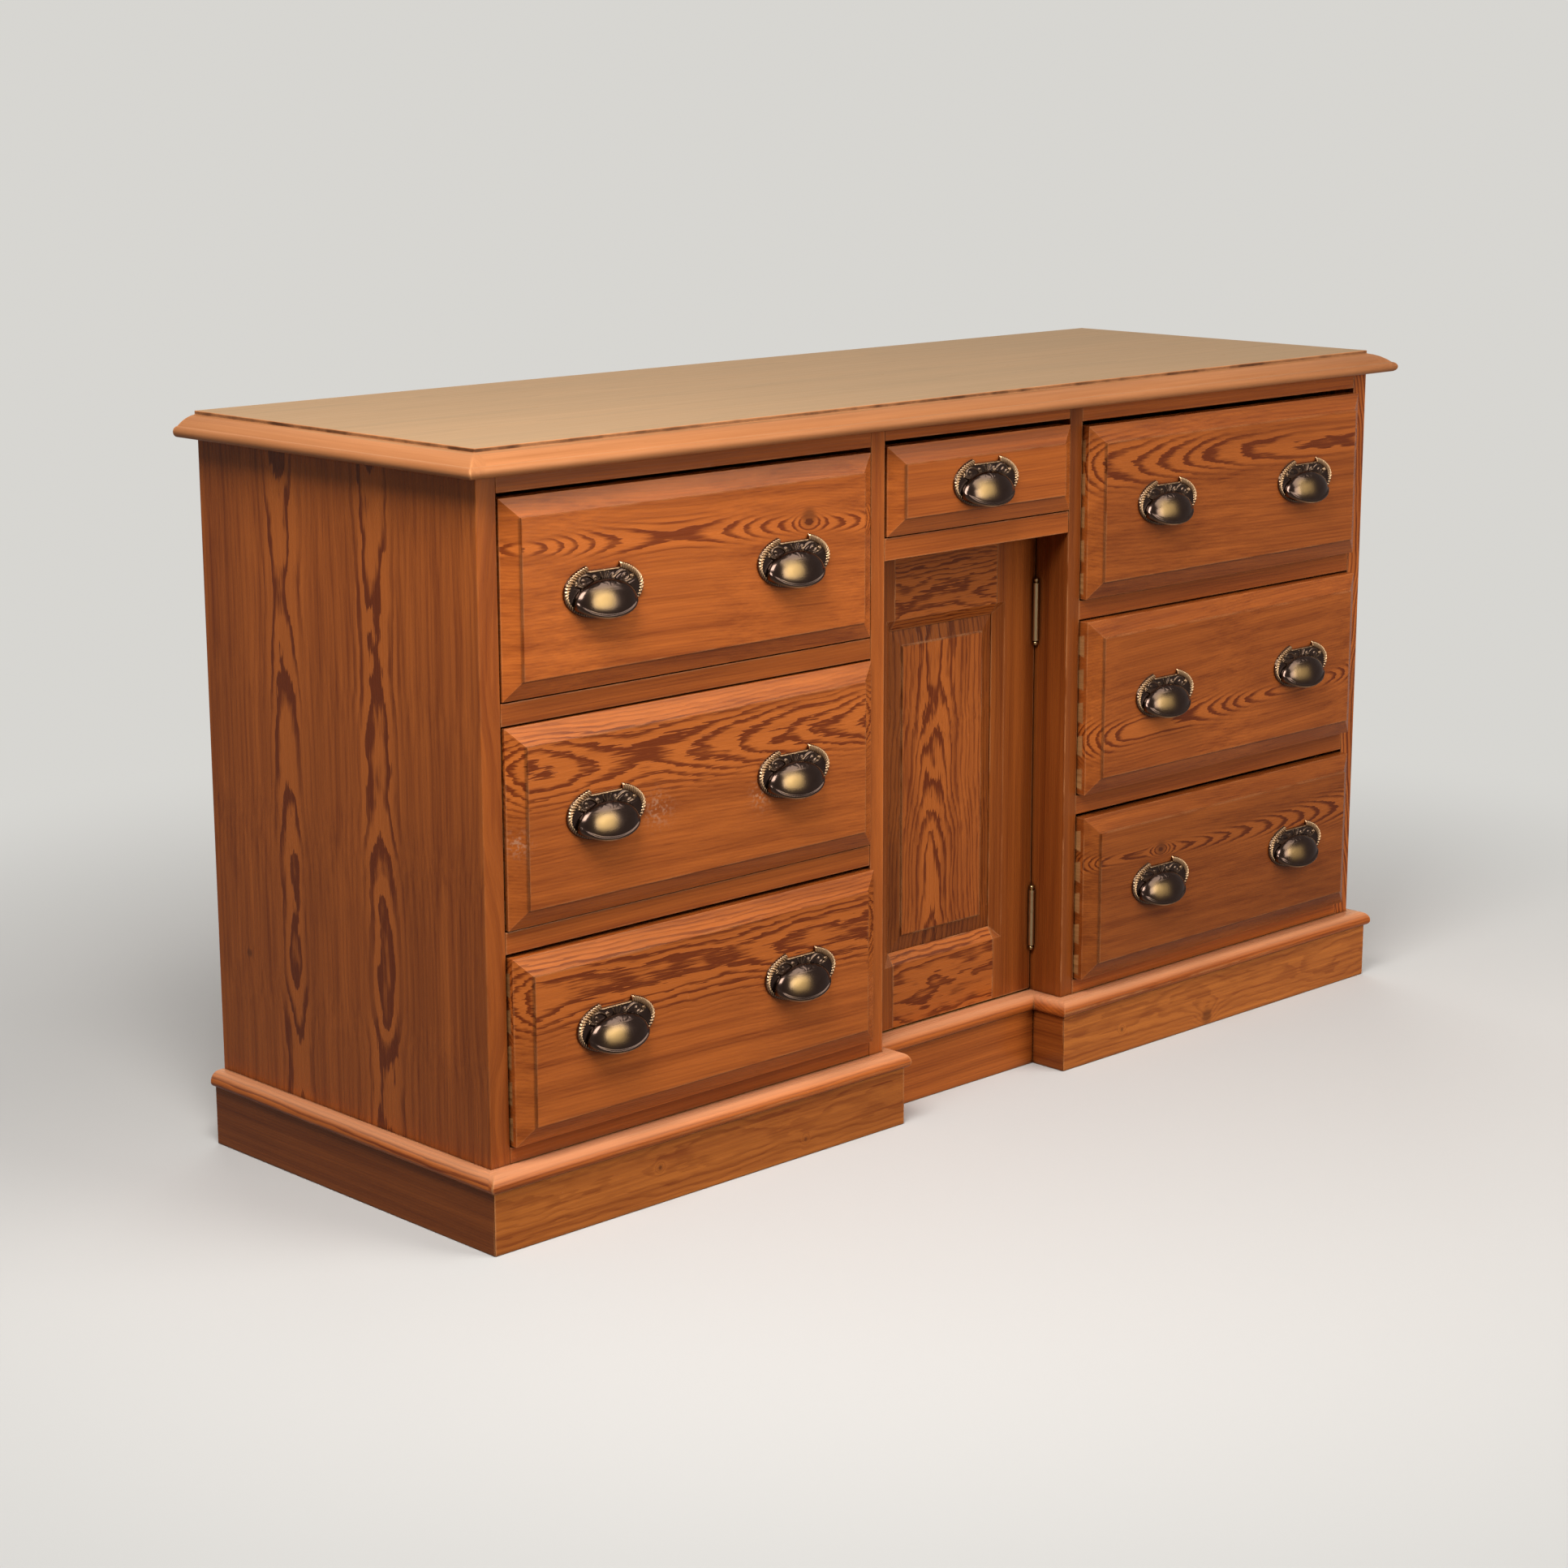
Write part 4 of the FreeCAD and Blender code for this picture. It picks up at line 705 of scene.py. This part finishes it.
bareWood = dict(pale=(0.46, 0.21, 0.072, 1), dark=(0.25, 0.095, 0.030, 1), rubbed=0.0, dirtAndShade=0.3,
                quiet=0.3, strength=0.6)
bareBoards = {
    "back_boards": dict(
        axes="zxy", heart=-0.9, face=0.263, seed=51.0,
        strips=[(-0.5, -0.35, 0.05), (-0.2, 0.0, 0.06), (0.2, 0.35, 0.05), (0.5, 0.62, 0.07)]),
    "bottom_bearers": dict(axes="yzx", heart=0.2, seed=52.0),
    "drawer_runners": dict(axes="yzx", heart=0.2, seed=53.0),
    "drawer_kickers": dict(axes="yzx", heart=0.9, seed=54.0),
    "drawer_stops": dict(axes="xyz", seed=55.0),
    "plinth_blocks": dict(axes="zyx", heart=0.1, seed=56.0),
    "plinth_back": dict(heart=0.09, seed=57.0),
    "door_stop": dict(heart=0.7, seed=58.0),
}
drawerWood = {"backReach": 0.0125, "heartBelow": 0.03, "boxSeed": 60.0, "bottomSeed": 80.0}
for name in fronts:
    low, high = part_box(name + "_drawer_box")
    bareBoards[name + "_drawer_box"] = dict(
        axes="yzx", heart=low.z - drawerWood["heartBelow"],
        seed=drawerWood["boxSeed"] + len(bareBoards), crossFrom=high.y - drawerWood["backReach"])
    bareBoards[name + "_drawer_bottom"] = dict(
        axes="xyz", seed=drawerWood["bottomSeed"] + len(bareBoards))
for name, board in bareBoards.items():
    finishNode(name, boardMaterial("plain_" + name, **{**bareWood, **board}))
print("inner boards finished")


# metal

metals = {  # rub is the wear all over
    "antiqueBronze": dict(dark=(0.086, 0.058, 0.046, 1), bright=(0.66, 0.43, 0.23, 1), rub=0.0,
                          seed=3.0),
    "hingeBrass": dict(dark=(0.45, 0.33, 0.15, 1), bright=(0.70, 0.55, 0.30, 1), rub=0.2, seed=5.0),
}
metalLook = {
    "cloudScale": 130.0,
    "cloudColour": (0.058, 0.036, 0.026, 1),
    "cloudDark": (0.42, 0.72, 0.0, 0.5),
    "cloudRub": (0.22, 0.55, 0.45, 1.0),
    "pitScale": 900.0,
    "roughness": (0.13, 0.10, 0.32),  # base, cloud, rub
    "proud": (0.53, 0.62, 0.0, 0.5),  # wear on what stands proud
    "rubAndHighlight": (0.72, 0.47, 0.16, 1),  # colour of the bowls' rubbed patches, which are also a painted highlight under the front lamp's reflection
    "rubAndHighlightDull": 0.5,
    "bump": (0.05, 0.0003),  # strength, m
}


def buildMetalGroup(look):
    tree, given, made = newGroup("agedMetal", [
        ("Spot", "v"), ("Dark", "c", (0.10, 0.07, 0.03, 1)),
        ("Bright", "c", (0.5, 0.38, 0.2, 1)), ("Worn", "f"), ("Rub", "f"),
        ("Fingered", "f"), ("Seed", "f"),
    ], [("Color", "c"), ("Roughness", "f"), ("Height", "f")])
    times, plus, _ = arithmetic(tree)
    cloud = noise(tree, given["Spot"], look["cloudScale"], 4.0, given["Seed"])
    pit = noise(tree, given["Spot"], look["pitScale"], 3.0, given["Seed"])
    point = addNode(tree, "ShaderNodeNewGeometry").outputs["Pointiness"]
    rub = plus(plus(ramp(tree, point, *look["proud"]), given["Worn"]), given["Rub"])
    rub = times(rub, ramp(tree, cloud, *look["cloudRub"]), clamp=True)
    dark = blendColour(tree, ramp(tree, cloud, *look["cloudDark"]), given["Dark"],
                       look["cloudColour"])
    colour = blendColour(tree, rub, dark, given["Bright"])
    # the rubbed patch, also a painted highlight
    feed(tree, made["Color"], blendColour(tree, given["Fingered"], colour, look["rubAndHighlight"]))
    base, cloudRough, rubRough = look["roughness"]
    rough = sums(tree, "MULTIPLY_ADD", cloud, cloudRough, base)
    rough = sums(tree, "MULTIPLY_ADD", rub, rubRough, rough)
    rough = sums(tree, "MULTIPLY_ADD", given["Fingered"], look["rubAndHighlightDull"], rough)
    feed(tree, made["Roughness"], rough)
    feed(tree, made["Height"], pit)
    return tree


metalGroup = buildMetalGroup(metalLook)


def metalMaterial(name, dark, bright, rub, seed):
    material, tree, shader = newMaterial(name)
    wornAndHighlit, rubbedHighlight = (addNode(tree, "ShaderNodeAttribute", attribute_name=mark).outputs["Fac"]
                      for mark in ("wornAndHighlit", "rubbedHighlight"))  # both are set on the cast pulls
    metal = place(tree, metalGroup, Spot=ownSpot(tree), Dark=dark, Bright=bright, Worn=wornAndHighlit,
                  Rub=rub, Fingered=rubbedHighlight, Seed=seed)
    feed(tree, shader.inputs["Base Color"], metal["Color"])
    feed(tree, shader.inputs["Roughness"], metal["Roughness"])
    shader.inputs["Metallic"].default_value = 1.0
    addRelief(tree, shader, metal["Height"], *metalLook["bump"])
    return material


bronze, brass = (metalMaterial(name, **metal) for name, metal in metals.items())
finishNode("door_knob", bronze)
for name in ("hinge_frame_leaves", "hinge_door_leaves", "hinge_pins"):
    finishNode(name, brass)
print("knob and hinges finished")


# cup pulls: an oval plate, a rolled and hatched rim that ends in two horns, scrolls, and an
# open bowl with a lip

pullForm = {  # mm, on the solids' own lines
    "plateOval": (54.0, 29.5),
    "plateInset": 0.7,
    "plateMiddle": -2.0,
    "plate": 2.5,
    "rim": (7.5, 5.2),  # width, height
    "rimFoot": 0.62,  # share of the rim's size left at the bottom
    "hornRound": 1.6,
    "hatch": (3.3, 0.17, 1.1),  # pitch, share of the height, slant
    "dip": (20.5, 21.0),  # half width, floor
    "bead": (2.6, 1.1),  # width and height of the bead along the dip
    "bowl": (42.0, 17.5, 25.5),
    "bowlMiddle": -10.0,
    "bowlDrop": 13.0,
    "bowlLean": 0.2,  # how much further the lower half stands out
    "bowlFullness": 2.6,  # 2 is a plain oval dome, more is flatter in front
    "wall": 2.2,
    "lipOval": (51.0, 28.0),
    "lipFlare": 1.8,
    "lipBack": 0.9,  # how far the lip's edge turns in again
    "lipBelow": (-3.5, -9.0),  # the lip grows between these heights
    "scrollHeight": 0.8,
    "scrollRidge": 0.95,
    "scrollGroove": (2.0, 0.9, 0.35),  # offset, width, share of the ridge
    "screw": (38.0, 9.5, 3.0, 1.5),  # offset, rise, radius, height
    "screwSlot": (0.55, 0.7),  # half width, depth
    "screwFoot": 0.4,
    "rubAndHighlight": ((-12, -8), (14, 9), -8, 0.45),  # middle, reach, front, share of the rubbed patch, also a painted highlight
}
pullWearAndHighlight = {
    "scroll": 0.2, "bead": 0.7, "rimFoot": 0.3, "hatchCut": 0.28, "screw": 0.2,
    "lip": 1.1, "lipEnds": 0.15, "lipHighlight": (-5, 17),  # mm, middle and reach of the brightest part of the lip's wear, which is also a painted highlight
}


def eased(low, high, value):
    t = np.clip((value - low) / (high - low), 0, 1)
    return t * t * (3 - 2 * t)


def scrollLines():
    def spiral(x, z, start, turn, wide, tight):
        t = np.linspace(0, 1, 60)
        angle = np.radians(start + turn * t)
        radius = wide + (tight - wide) * t
        return np.stack([x + radius * np.cos(angle), z + radius * np.sin(angle)], 1)

    def bend(a, b, c, d, count=60):
        t = np.linspace(0, 1, count)[:, None]
        a, b, c, d = (np.array(p, float) for p in (a, b, c, d))
        return a * (1 - t) ** 3 + 3 * b * t * (1 - t) ** 2 + 3 * c * t * t * (1 - t) + d * t ** 3

    right = np.concatenate([
        bend((3.5, 6.5), (11, 7), (17, 18), (27, 17.0)),
        spiral(28.5, 11.0, 104, -430, 6.2, 0.8),
        bend((20, 5.0), (15, 4), (9, 7.5), (9.5, 12)),
        spiral(12.6, 12.2, 180, -400, 3.1, 0.6),
        bend((0, 6), (1.5, 10), (3.5, 13), (5.5, 18), 30),
        bend((0, 6), (0, 10), (0, 14), (0, 19), 30),
        bend((0, 3.0), (14, 2.5), (29, 3.5), (39, 8)),
    ])
    return np.concatenate([right, right * (-1, 1)])


def ridges(x, z, lines, form):
    spots = np.stack([x, z], -1).reshape(-1, 2)
    gap = np.min(np.hypot(spots[:, None, 0] - lines[None, :, 0],
                          spots[:, None, 1] - lines[None, :, 1]), 1)
    offset, width, share = form["scrollGroove"]
    groove = share * np.exp(-((gap - offset) / width) ** 2)
    return (np.exp(-(gap / form["scrollRidge"]) ** 2) - groove).reshape(x.shape)


def bowlHeight(x, z, form, grow=0.0):
    wide, deep, tall = (part + grow for part in form["bowl"])
    full = form["bowlFullness"]
    rise = (z + form["bowlDrop"]) / tall
    share = np.hypot(x / wide, rise)
    dome = deep * np.clip(1 - share ** full, 0, None) ** (1 / full)
    return dome * (1 - form["bowlLean"] * rise)


def sheetFaces(rows, columns):
    faces = []
    for r in range(rows - 1):
        for c in range(columns):
            a, b = r * columns + c, r * columns + (c + 1) % columns
            faces.append((a, a + columns, b + columns, b))
    return faces


def closedFaces(rows, columns):  # a sheet whose first and last rings end in the last two points
    tip = rows * columns
    faces = sheetFaces(rows, columns)
    for end, start in ((tip, 0), (tip + 1, tip - columns)):
        faces += [(end, start + c, start + (c + 1) % columns) for c in range(columns)]
    return faces


def roundAngles(count):
    return np.linspace(0, 2 * np.pi, count, endpoint=False)


def fanned(steps, edge, angles, middle=0.0):  # rings of points, outwards from the middle
    return (steps[:, None] * edge * np.cos(angles),
            middle + steps[:, None] * edge * np.sin(angles))


def listed(x, y, z):
    return np.stack([x, y, z], -1).reshape(-1, 3).tolist()


def levels(values):
    return np.clip(values, 0, 1).reshape(-1).tolist()


def reachTo(middle, angles, inside, far=60.0, halvings=40):  # how far each ray stays inside
    low, high = np.zeros_like(angles), np.full_like(angles, far)
    for _ in range(halvings):
        mid = (low + high) / 2
        ok = inside(mid * np.cos(angles), middle + mid * np.sin(angles))
        low, high = np.where(ok, mid, low), np.where(ok, high, mid)
    return low


def castPlate(form, lines, around=264):
    angles = roundAngles(around)
    wide, tall = (part - form["plateInset"] for part in form["plateOval"])
    middle, floor = form["plateMiddle"], form["dip"][1]
    edge = reachTo(middle, angles,
                   lambda x, z: ((x / wide) ** 2 + (z / tall) ** 2 < 1) & (z < floor))
    steps = 1 - (1 - np.linspace(0.12, 1, 26)) ** 1.5  # closer together at the edge
    x, z = fanned(steps, edge, angles, middle)
    share = np.hypot(x / wide, z / tall)
    ridge = ridges(x, z, lines, form) * eased(0.90, 0.82, share) * eased(0.3, 2.0, floor - z)
    beadWidth, beadHeight = form["bead"]
    bead = np.sin(np.pi * np.clip((floor - z + 0.4) / beadWidth, 0, 1)) * eased(24, 19, np.abs(x))
    y = -form["plate"] - form["scrollHeight"] * ridge - beadHeight * bead
    points = listed(x, y, z)
    wornAndHighlit = levels(pullWearAndHighlight["scroll"] * ridge + pullWearAndHighlight["bead"] * bead)
    rim = (len(steps) - 1) * around
    points += [(px, 0.0, pz) for px, _, pz in points[rim:]]
    points += [(0.0, -form["plate"], middle), (0.0, 0.0, middle)]
    wornAndHighlit += [0.0] * (len(points) - len(wornAndHighlit))
    return points, closedFaces(len(steps) + 1, around), wornAndHighlit


def castRim(form, stations=440, across=12):
    width, height = form["rim"]
    wide, tall = (part - width / 2 for part in form["plateOval"])
    horn = math.acos((form["dip"][0] + 1.0) / wide)
    angle = np.linspace(horn, -math.pi - horn, stations)
    x, z = wide * np.cos(angle), tall * np.sin(angle)
    outward = np.stack([tall * np.cos(angle), wide * np.sin(angle)], 1)
    outward /= np.linalg.norm(outward, axis=1)[:, None]
    length = np.concatenate([[0], np.cumsum(np.hypot(np.diff(x), np.diff(z)))])
    fromEnd = np.minimum(length, length[-1] - length)
    flatEnd = (1 - np.clip(fromEnd / form["hornRound"], 0, 1)) ** 2
    cap = np.sqrt(np.clip(1 - flatEnd, 0.02, None))  # rounded horn ends
    size = cap * (form["rimFoot"] + (1 - form["rimFoot"]) * eased(-16, 8, z))
    turn = np.linspace(0, math.pi, across + 1)
    over = -np.cos(turn) * width / 2 * size[:, None]
    pitch, cut, slant = form["hatch"]
    hatch = np.cos(2 * np.pi * length[:, None] / pitch + slant * over)
    lift = height * size[:, None] * np.sin(turn) ** 0.75 * (1 - cut + cut * hatch)
    rootX = x + outward[:, 0] * width / 2 * (1 - size)  # the outer edge keeps to the plate's oval
    rootZ = z + outward[:, 1] * width / 2 * (1 - size)
    points = listed(rootX[:, None] + outward[:, 0:1] * over, -lift,
                    rootZ[:, None] + outward[:, 1:2] * over)
    foot, shown = pullWearAndHighlight["rimFoot"], pullWearAndHighlight["hatchCut"]
    crest = eased(0.25, 0.9, np.sin(turn))[None, :]
    crest = crest * (foot + (1 - foot) * eased(-18, 4, z))[:, None]
    wornAndHighlit = levels(crest * (1 - shown + shown * hatch))
    columns = across + 1
    faces = sheetFaces(stations, columns)
    faces += [tuple(range(columns)), tuple(range((stations - 1) * columns, stations * columns))]
    return points, faces, wornAndHighlit


def castBowl(form, lines, around=192):
    angles = roundAngles(around)
    wide, _, tall = form["bowl"]
    lipWide, lipTall = form["lipOval"]
    middle, drop = form["bowlMiddle"], form["bowlDrop"]
    edge = reachTo(middle, angles, lambda x, z: (
        ((x / wide) ** 2 + ((z + drop) / tall) ** 2 < 0.998)
        & ((x / lipWide) ** 2 + (z / lipTall) ** 2 < 1)))
    steps = 1 - (1 - np.linspace(0.05, 1, 36)) ** 1.35
    x, z = fanned(steps, edge, angles, middle)
    share = np.hypot(x / lipWide, z / lipTall)
    below = eased(*form["lipBelow"], z)
    lip = eased(0.84, 0.90, share) * below
    turned = eased(0.965, 1.0, share) * below
    ridge = ridges(x, z, lines, form) * eased(1.5, 4.5, z)
    outer = bowlHeight(x, z, form) + lip * form["lipFlare"] - form["lipBack"] * turned
    outer = np.maximum(outer + 0.25 * form["scrollHeight"] * ridge, 1.0)
    inner = np.maximum(bowlHeight(x, z, form, -form["wall"]), 0.8)
    inner = np.minimum(inner, outer - 0.3)
    points = listed(x, -outer, z)
    points += listed((x * 0.997)[::-1], -inner[::-1], z[::-1])  # from the edge back to the middle
    # the lip is brightest in the middle: wear and a painted highlight
    brightX, brightReach = pullWearAndHighlight["lipHighlight"]
    ends = pullWearAndHighlight["lipEnds"]
    bright = ends + (1 - ends) * np.exp(-((x - brightX) / brightReach) ** 2)
    wornAndHighlit = levels(pullWearAndHighlight["lip"] * (lip * eased(0.93, 0.97, share) * bright))
    for grow in (0.0, -form["wall"]):
        points.append((0.0, -float(bowlHeight(0.0, np.array(middle), form, grow)), middle))
    wornAndHighlit += [0.0] * (len(points) - len(wornAndHighlit))
    return points, closedFaces(2 * len(steps), around), wornAndHighlit


def castScrew(form, side, around=28):  # a domed head with a slot
    offset, rise, radius, height = form["screw"]
    slotHalf, slotDepth = form["screwSlot"]
    foot = form["screwFoot"] - form["plate"]
    steps = np.linspace(0, 1, 9)[1:]
    x, z = fanned(steps, radius, roundAngles(around))
    tilt = 0.5 + side
    slot = np.abs(x * np.sin(tilt) + z * np.cos(tilt)) < slotHalf
    y = -form["plate"] - height * np.sqrt(1.02 - steps[:, None] ** 2 * 0.9) + slotDepth * slot
    points = listed(x + side * offset, y, z + rise)
    rim = (len(steps) - 1) * around
    points += [(px, foot, pz) for px, _, pz in points[rim:]]
    points += [(side * offset, slotDepth - form["plate"] - height, rise),
               (side * offset, foot, rise)]
    wornAndHighlit = [pullWearAndHighlight["screw"]] * len(points)
    return points, closedFaces(len(steps) + 1, around), wornAndHighlit


def rubAndHighlightPatch(points, form):  # where the bowl is rubbed, and a highlight is painted under the front lamp's reflection
    x, y, z = np.array(points).T
    (middleX, middleZ), (wide, tall), front, share = form["rubAndHighlight"]
    spread = np.abs((x - middleX) / wide) ** 3 + np.abs((z - middleZ) / tall) ** 3
    return (share * np.exp(-spread) * (y < front)).tolist()


def castPullMesh(form):
    lines = scrollLines()
    points, faces, wornAndHighlit = [], [], []
    for part in (castPlate(form, lines), castRim(form), castBowl(form, lines),
                 castScrew(form, -1), castScrew(form, 1)):
        faces += [tuple(i + len(points) for i in face) for face in part[1]]
        points += part[0]
        wornAndHighlit += part[2]
    mesh = bpy.data.meshes.new("cupPull")
    mesh.from_pydata([(x / 1000, y / 1000, z / 1000) for x, y, z in points], [], faces)
    for mark, values in (("wornAndHighlit", wornAndHighlit), ("rubbedHighlight", rubAndHighlightPatch(points, form))):
        mesh.attributes.new(mark, "FLOAT", "POINT").data.foreach_set("value", values)
    shell = bmesh.new()
    shell.from_mesh(mesh)
    bmesh.ops.recalc_face_normals(shell, faces=shell.faces)
    shell.to_mesh(mesh)
    shell.free()
    mesh.polygons.foreach_set("use_smooth", [True] * len(faces))
    mesh.set_sharp_from_angle(angle=math.radians(48))
    mesh.materials.append(bronze)
    mesh.update()
    return mesh


def hangPulls(form):
    pattern = castPullMesh(form)
    half, tall = (part / 1000 for part in form["plateOval"])
    for name in fronts:
        node = name + "_drawer_pulls"
        low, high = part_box(node)
        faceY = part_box(name + "_drawer_front")[0].y
        spots = [low.x + half]
        if high.x - low.x > 3 * half:  # a pair
            spots.append(high.x - half)
        for number, x in enumerate(spots, 1):
            pull = bpy.data.objects.new("%s_pull_%d" % (name, number), pattern.copy())
            scene.collection.objects.link(pull)
            pull.location = (x, faceY, low.z + tall)
            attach(pull, name + "_drawer")
            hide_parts(node)
    bpy.data.meshes.remove(pattern)


hangPulls(pullForm)
print("pulls hung")


# floor, world and soft lights

studio = {
    "floor": (0.64, 0.63, 0.61, 1),
    "bounce": (0.22, 0.21, 0.20, 1),  # the floor as the object's own light sees it
    "backdrop": (0.68, 0.67, 0.64, 1),
    "wall": (0.64, 0.565, 0.44, 1),  # behind the object, seen in reflections only
    "wallFrom": (-0.1, 0.3),
    "room": (0.30, 0.26, 0.25, 1),  # the dim front of the studio, seen in reflections only
    "air": (0.95, 0.97, 1.0, 1),
    "airLevel": 0.185,
    "floorReach": 40.0,
    "floorSides": 96,
    "floorFade": (0.85, 2.0),  # where the floor passes into the backdrop
}
lamps = {  # direction from the object, distance, sides, watts
    "frontSoftbox": dict(towards=(0.32, -0.92, 0.22), away=4.2, size=(1.9, 1.7), watts=56,
                         tint=(1.0, 0.97, 0.93)),
    "highSoftbox": dict(towards=(0.35, -0.60, 0.72), away=4.2, size=(2.8, 2.8), watts=78),
    "backSoftbox": dict(towards=(0.48, 0.75, 0.46), away=4.5, size=(3.0, 3.0), watts=62,
                        mirrored=False),
    "leftSoftbox": dict(towards=(-0.60, -0.30, 0.74), away=2.3, size=(1.0, 1.0), watts=50,
                        tint=(1.0, 0.98, 0.96)),
}
lampAim = (0, -0.1, 0.42)


def mixShaders(tree, factor, first, second, output):
    mix = fill(tree, addNode(tree, "ShaderNodeMixShader"), factor, first, second)
    feed(tree, tree.nodes[output].inputs["Surface"], mix[0])


def layFloor(s):
    mesh = bpy.data.meshes.new("floor")
    sides, far = s["floorSides"], s["floorReach"]
    turns = [2 * math.pi * i / sides for i in range(sides)]
    mesh.from_pydata([(far * math.cos(t), far * math.sin(t), 0) for t in turns], [],
                     [list(range(sides))])
    floor = bpy.data.objects.new("floor", mesh)
    scene.collection.objects.link(floor)
    material, tree, shader = newMaterial("paleFloor")
    shader.inputs["Roughness"].default_value = 0.9
    shader.inputs["Specular IOR Level"].default_value = 0.1
    path = addNode(tree, "ShaderNodeLightPath").outputs
    seen, mirrored = path["Is Camera Ray"], path["Is Glossy Ray"]
    feed(tree, shader.inputs["Base Color"], blendColour(tree, seen, s["bounce"], s["floor"]))
    reach = vectors(tree, "LENGTH", ownSpot(tree))["Value"]
    beyond = sums(tree, "MULTIPLY", ramp(tree, reach, *s["floorFade"]), seen)
    glow = addNode(tree, "ShaderNodeEmission")
    feed(tree, glow.inputs["Color"], blendColour(tree, mirrored, s["backdrop"], s["room"]))
    mixShaders(tree, sums(tree, "MAXIMUM", beyond, mirrored), shader.outputs[0], glow.outputs[0],
               "Material Output")
    mesh.materials.append(material)


def lightWorld(s):
    world = bpy.data.worlds.new("studioAir")
    scene.world = world
    world.use_nodes = True
    tree = world.node_tree
    air = tree.nodes["Background"]
    air.inputs["Color"].default_value = s["air"]
    air.inputs["Strength"].default_value = s["airLevel"]
    outwards = apart(tree, addNode(tree, "ShaderNodeTexCoord").outputs["Generated"])
    path = addNode(tree, "ShaderNodeLightPath").outputs
    mirrored = blendColour(tree, ramp(tree, outwards["Y"], *s["wallFrom"]), s["room"], s["wall"])
    around = addNode(tree, "ShaderNodeBackground")
    feed(tree, around.inputs["Color"],
         blendColour(tree, path["Is Camera Ray"], mirrored, s["backdrop"]))
    seen = sums(tree, "MAXIMUM", path["Is Camera Ray"], path["Is Glossy Ray"])
    seen = sums(tree, "MAXIMUM", seen, path["Is Transmission Ray"])
    mixShaders(tree, seen, air.outputs[0], around.outputs[0], "World Output")


def hangLamp(name, towards, away, size, watts, tint=(1.0, 0.98, 0.95), mirrored=True):
    light = bpy.data.lights.new(name, "AREA")
    light.shape = "RECTANGLE"
    light.size, light.size_y = size
    light.energy = watts
    light.color = tint
    lamp = bpy.data.objects.new(name, light)
    scene.collection.objects.link(lamp)
    direction = Vector(towards).normalized()
    lamp.location = Vector(lampAim) + direction * away
    lamp.rotation_euler = direction.to_track_quat("Z", "Y").to_euler()
    lamp.visible_camera = False
    lamp.visible_glossy = mirrored


layFloor(studio)
lightWorld(studio)
for name, lamp in lamps.items():
    hangLamp(name, **lamp)
print("studio lit")
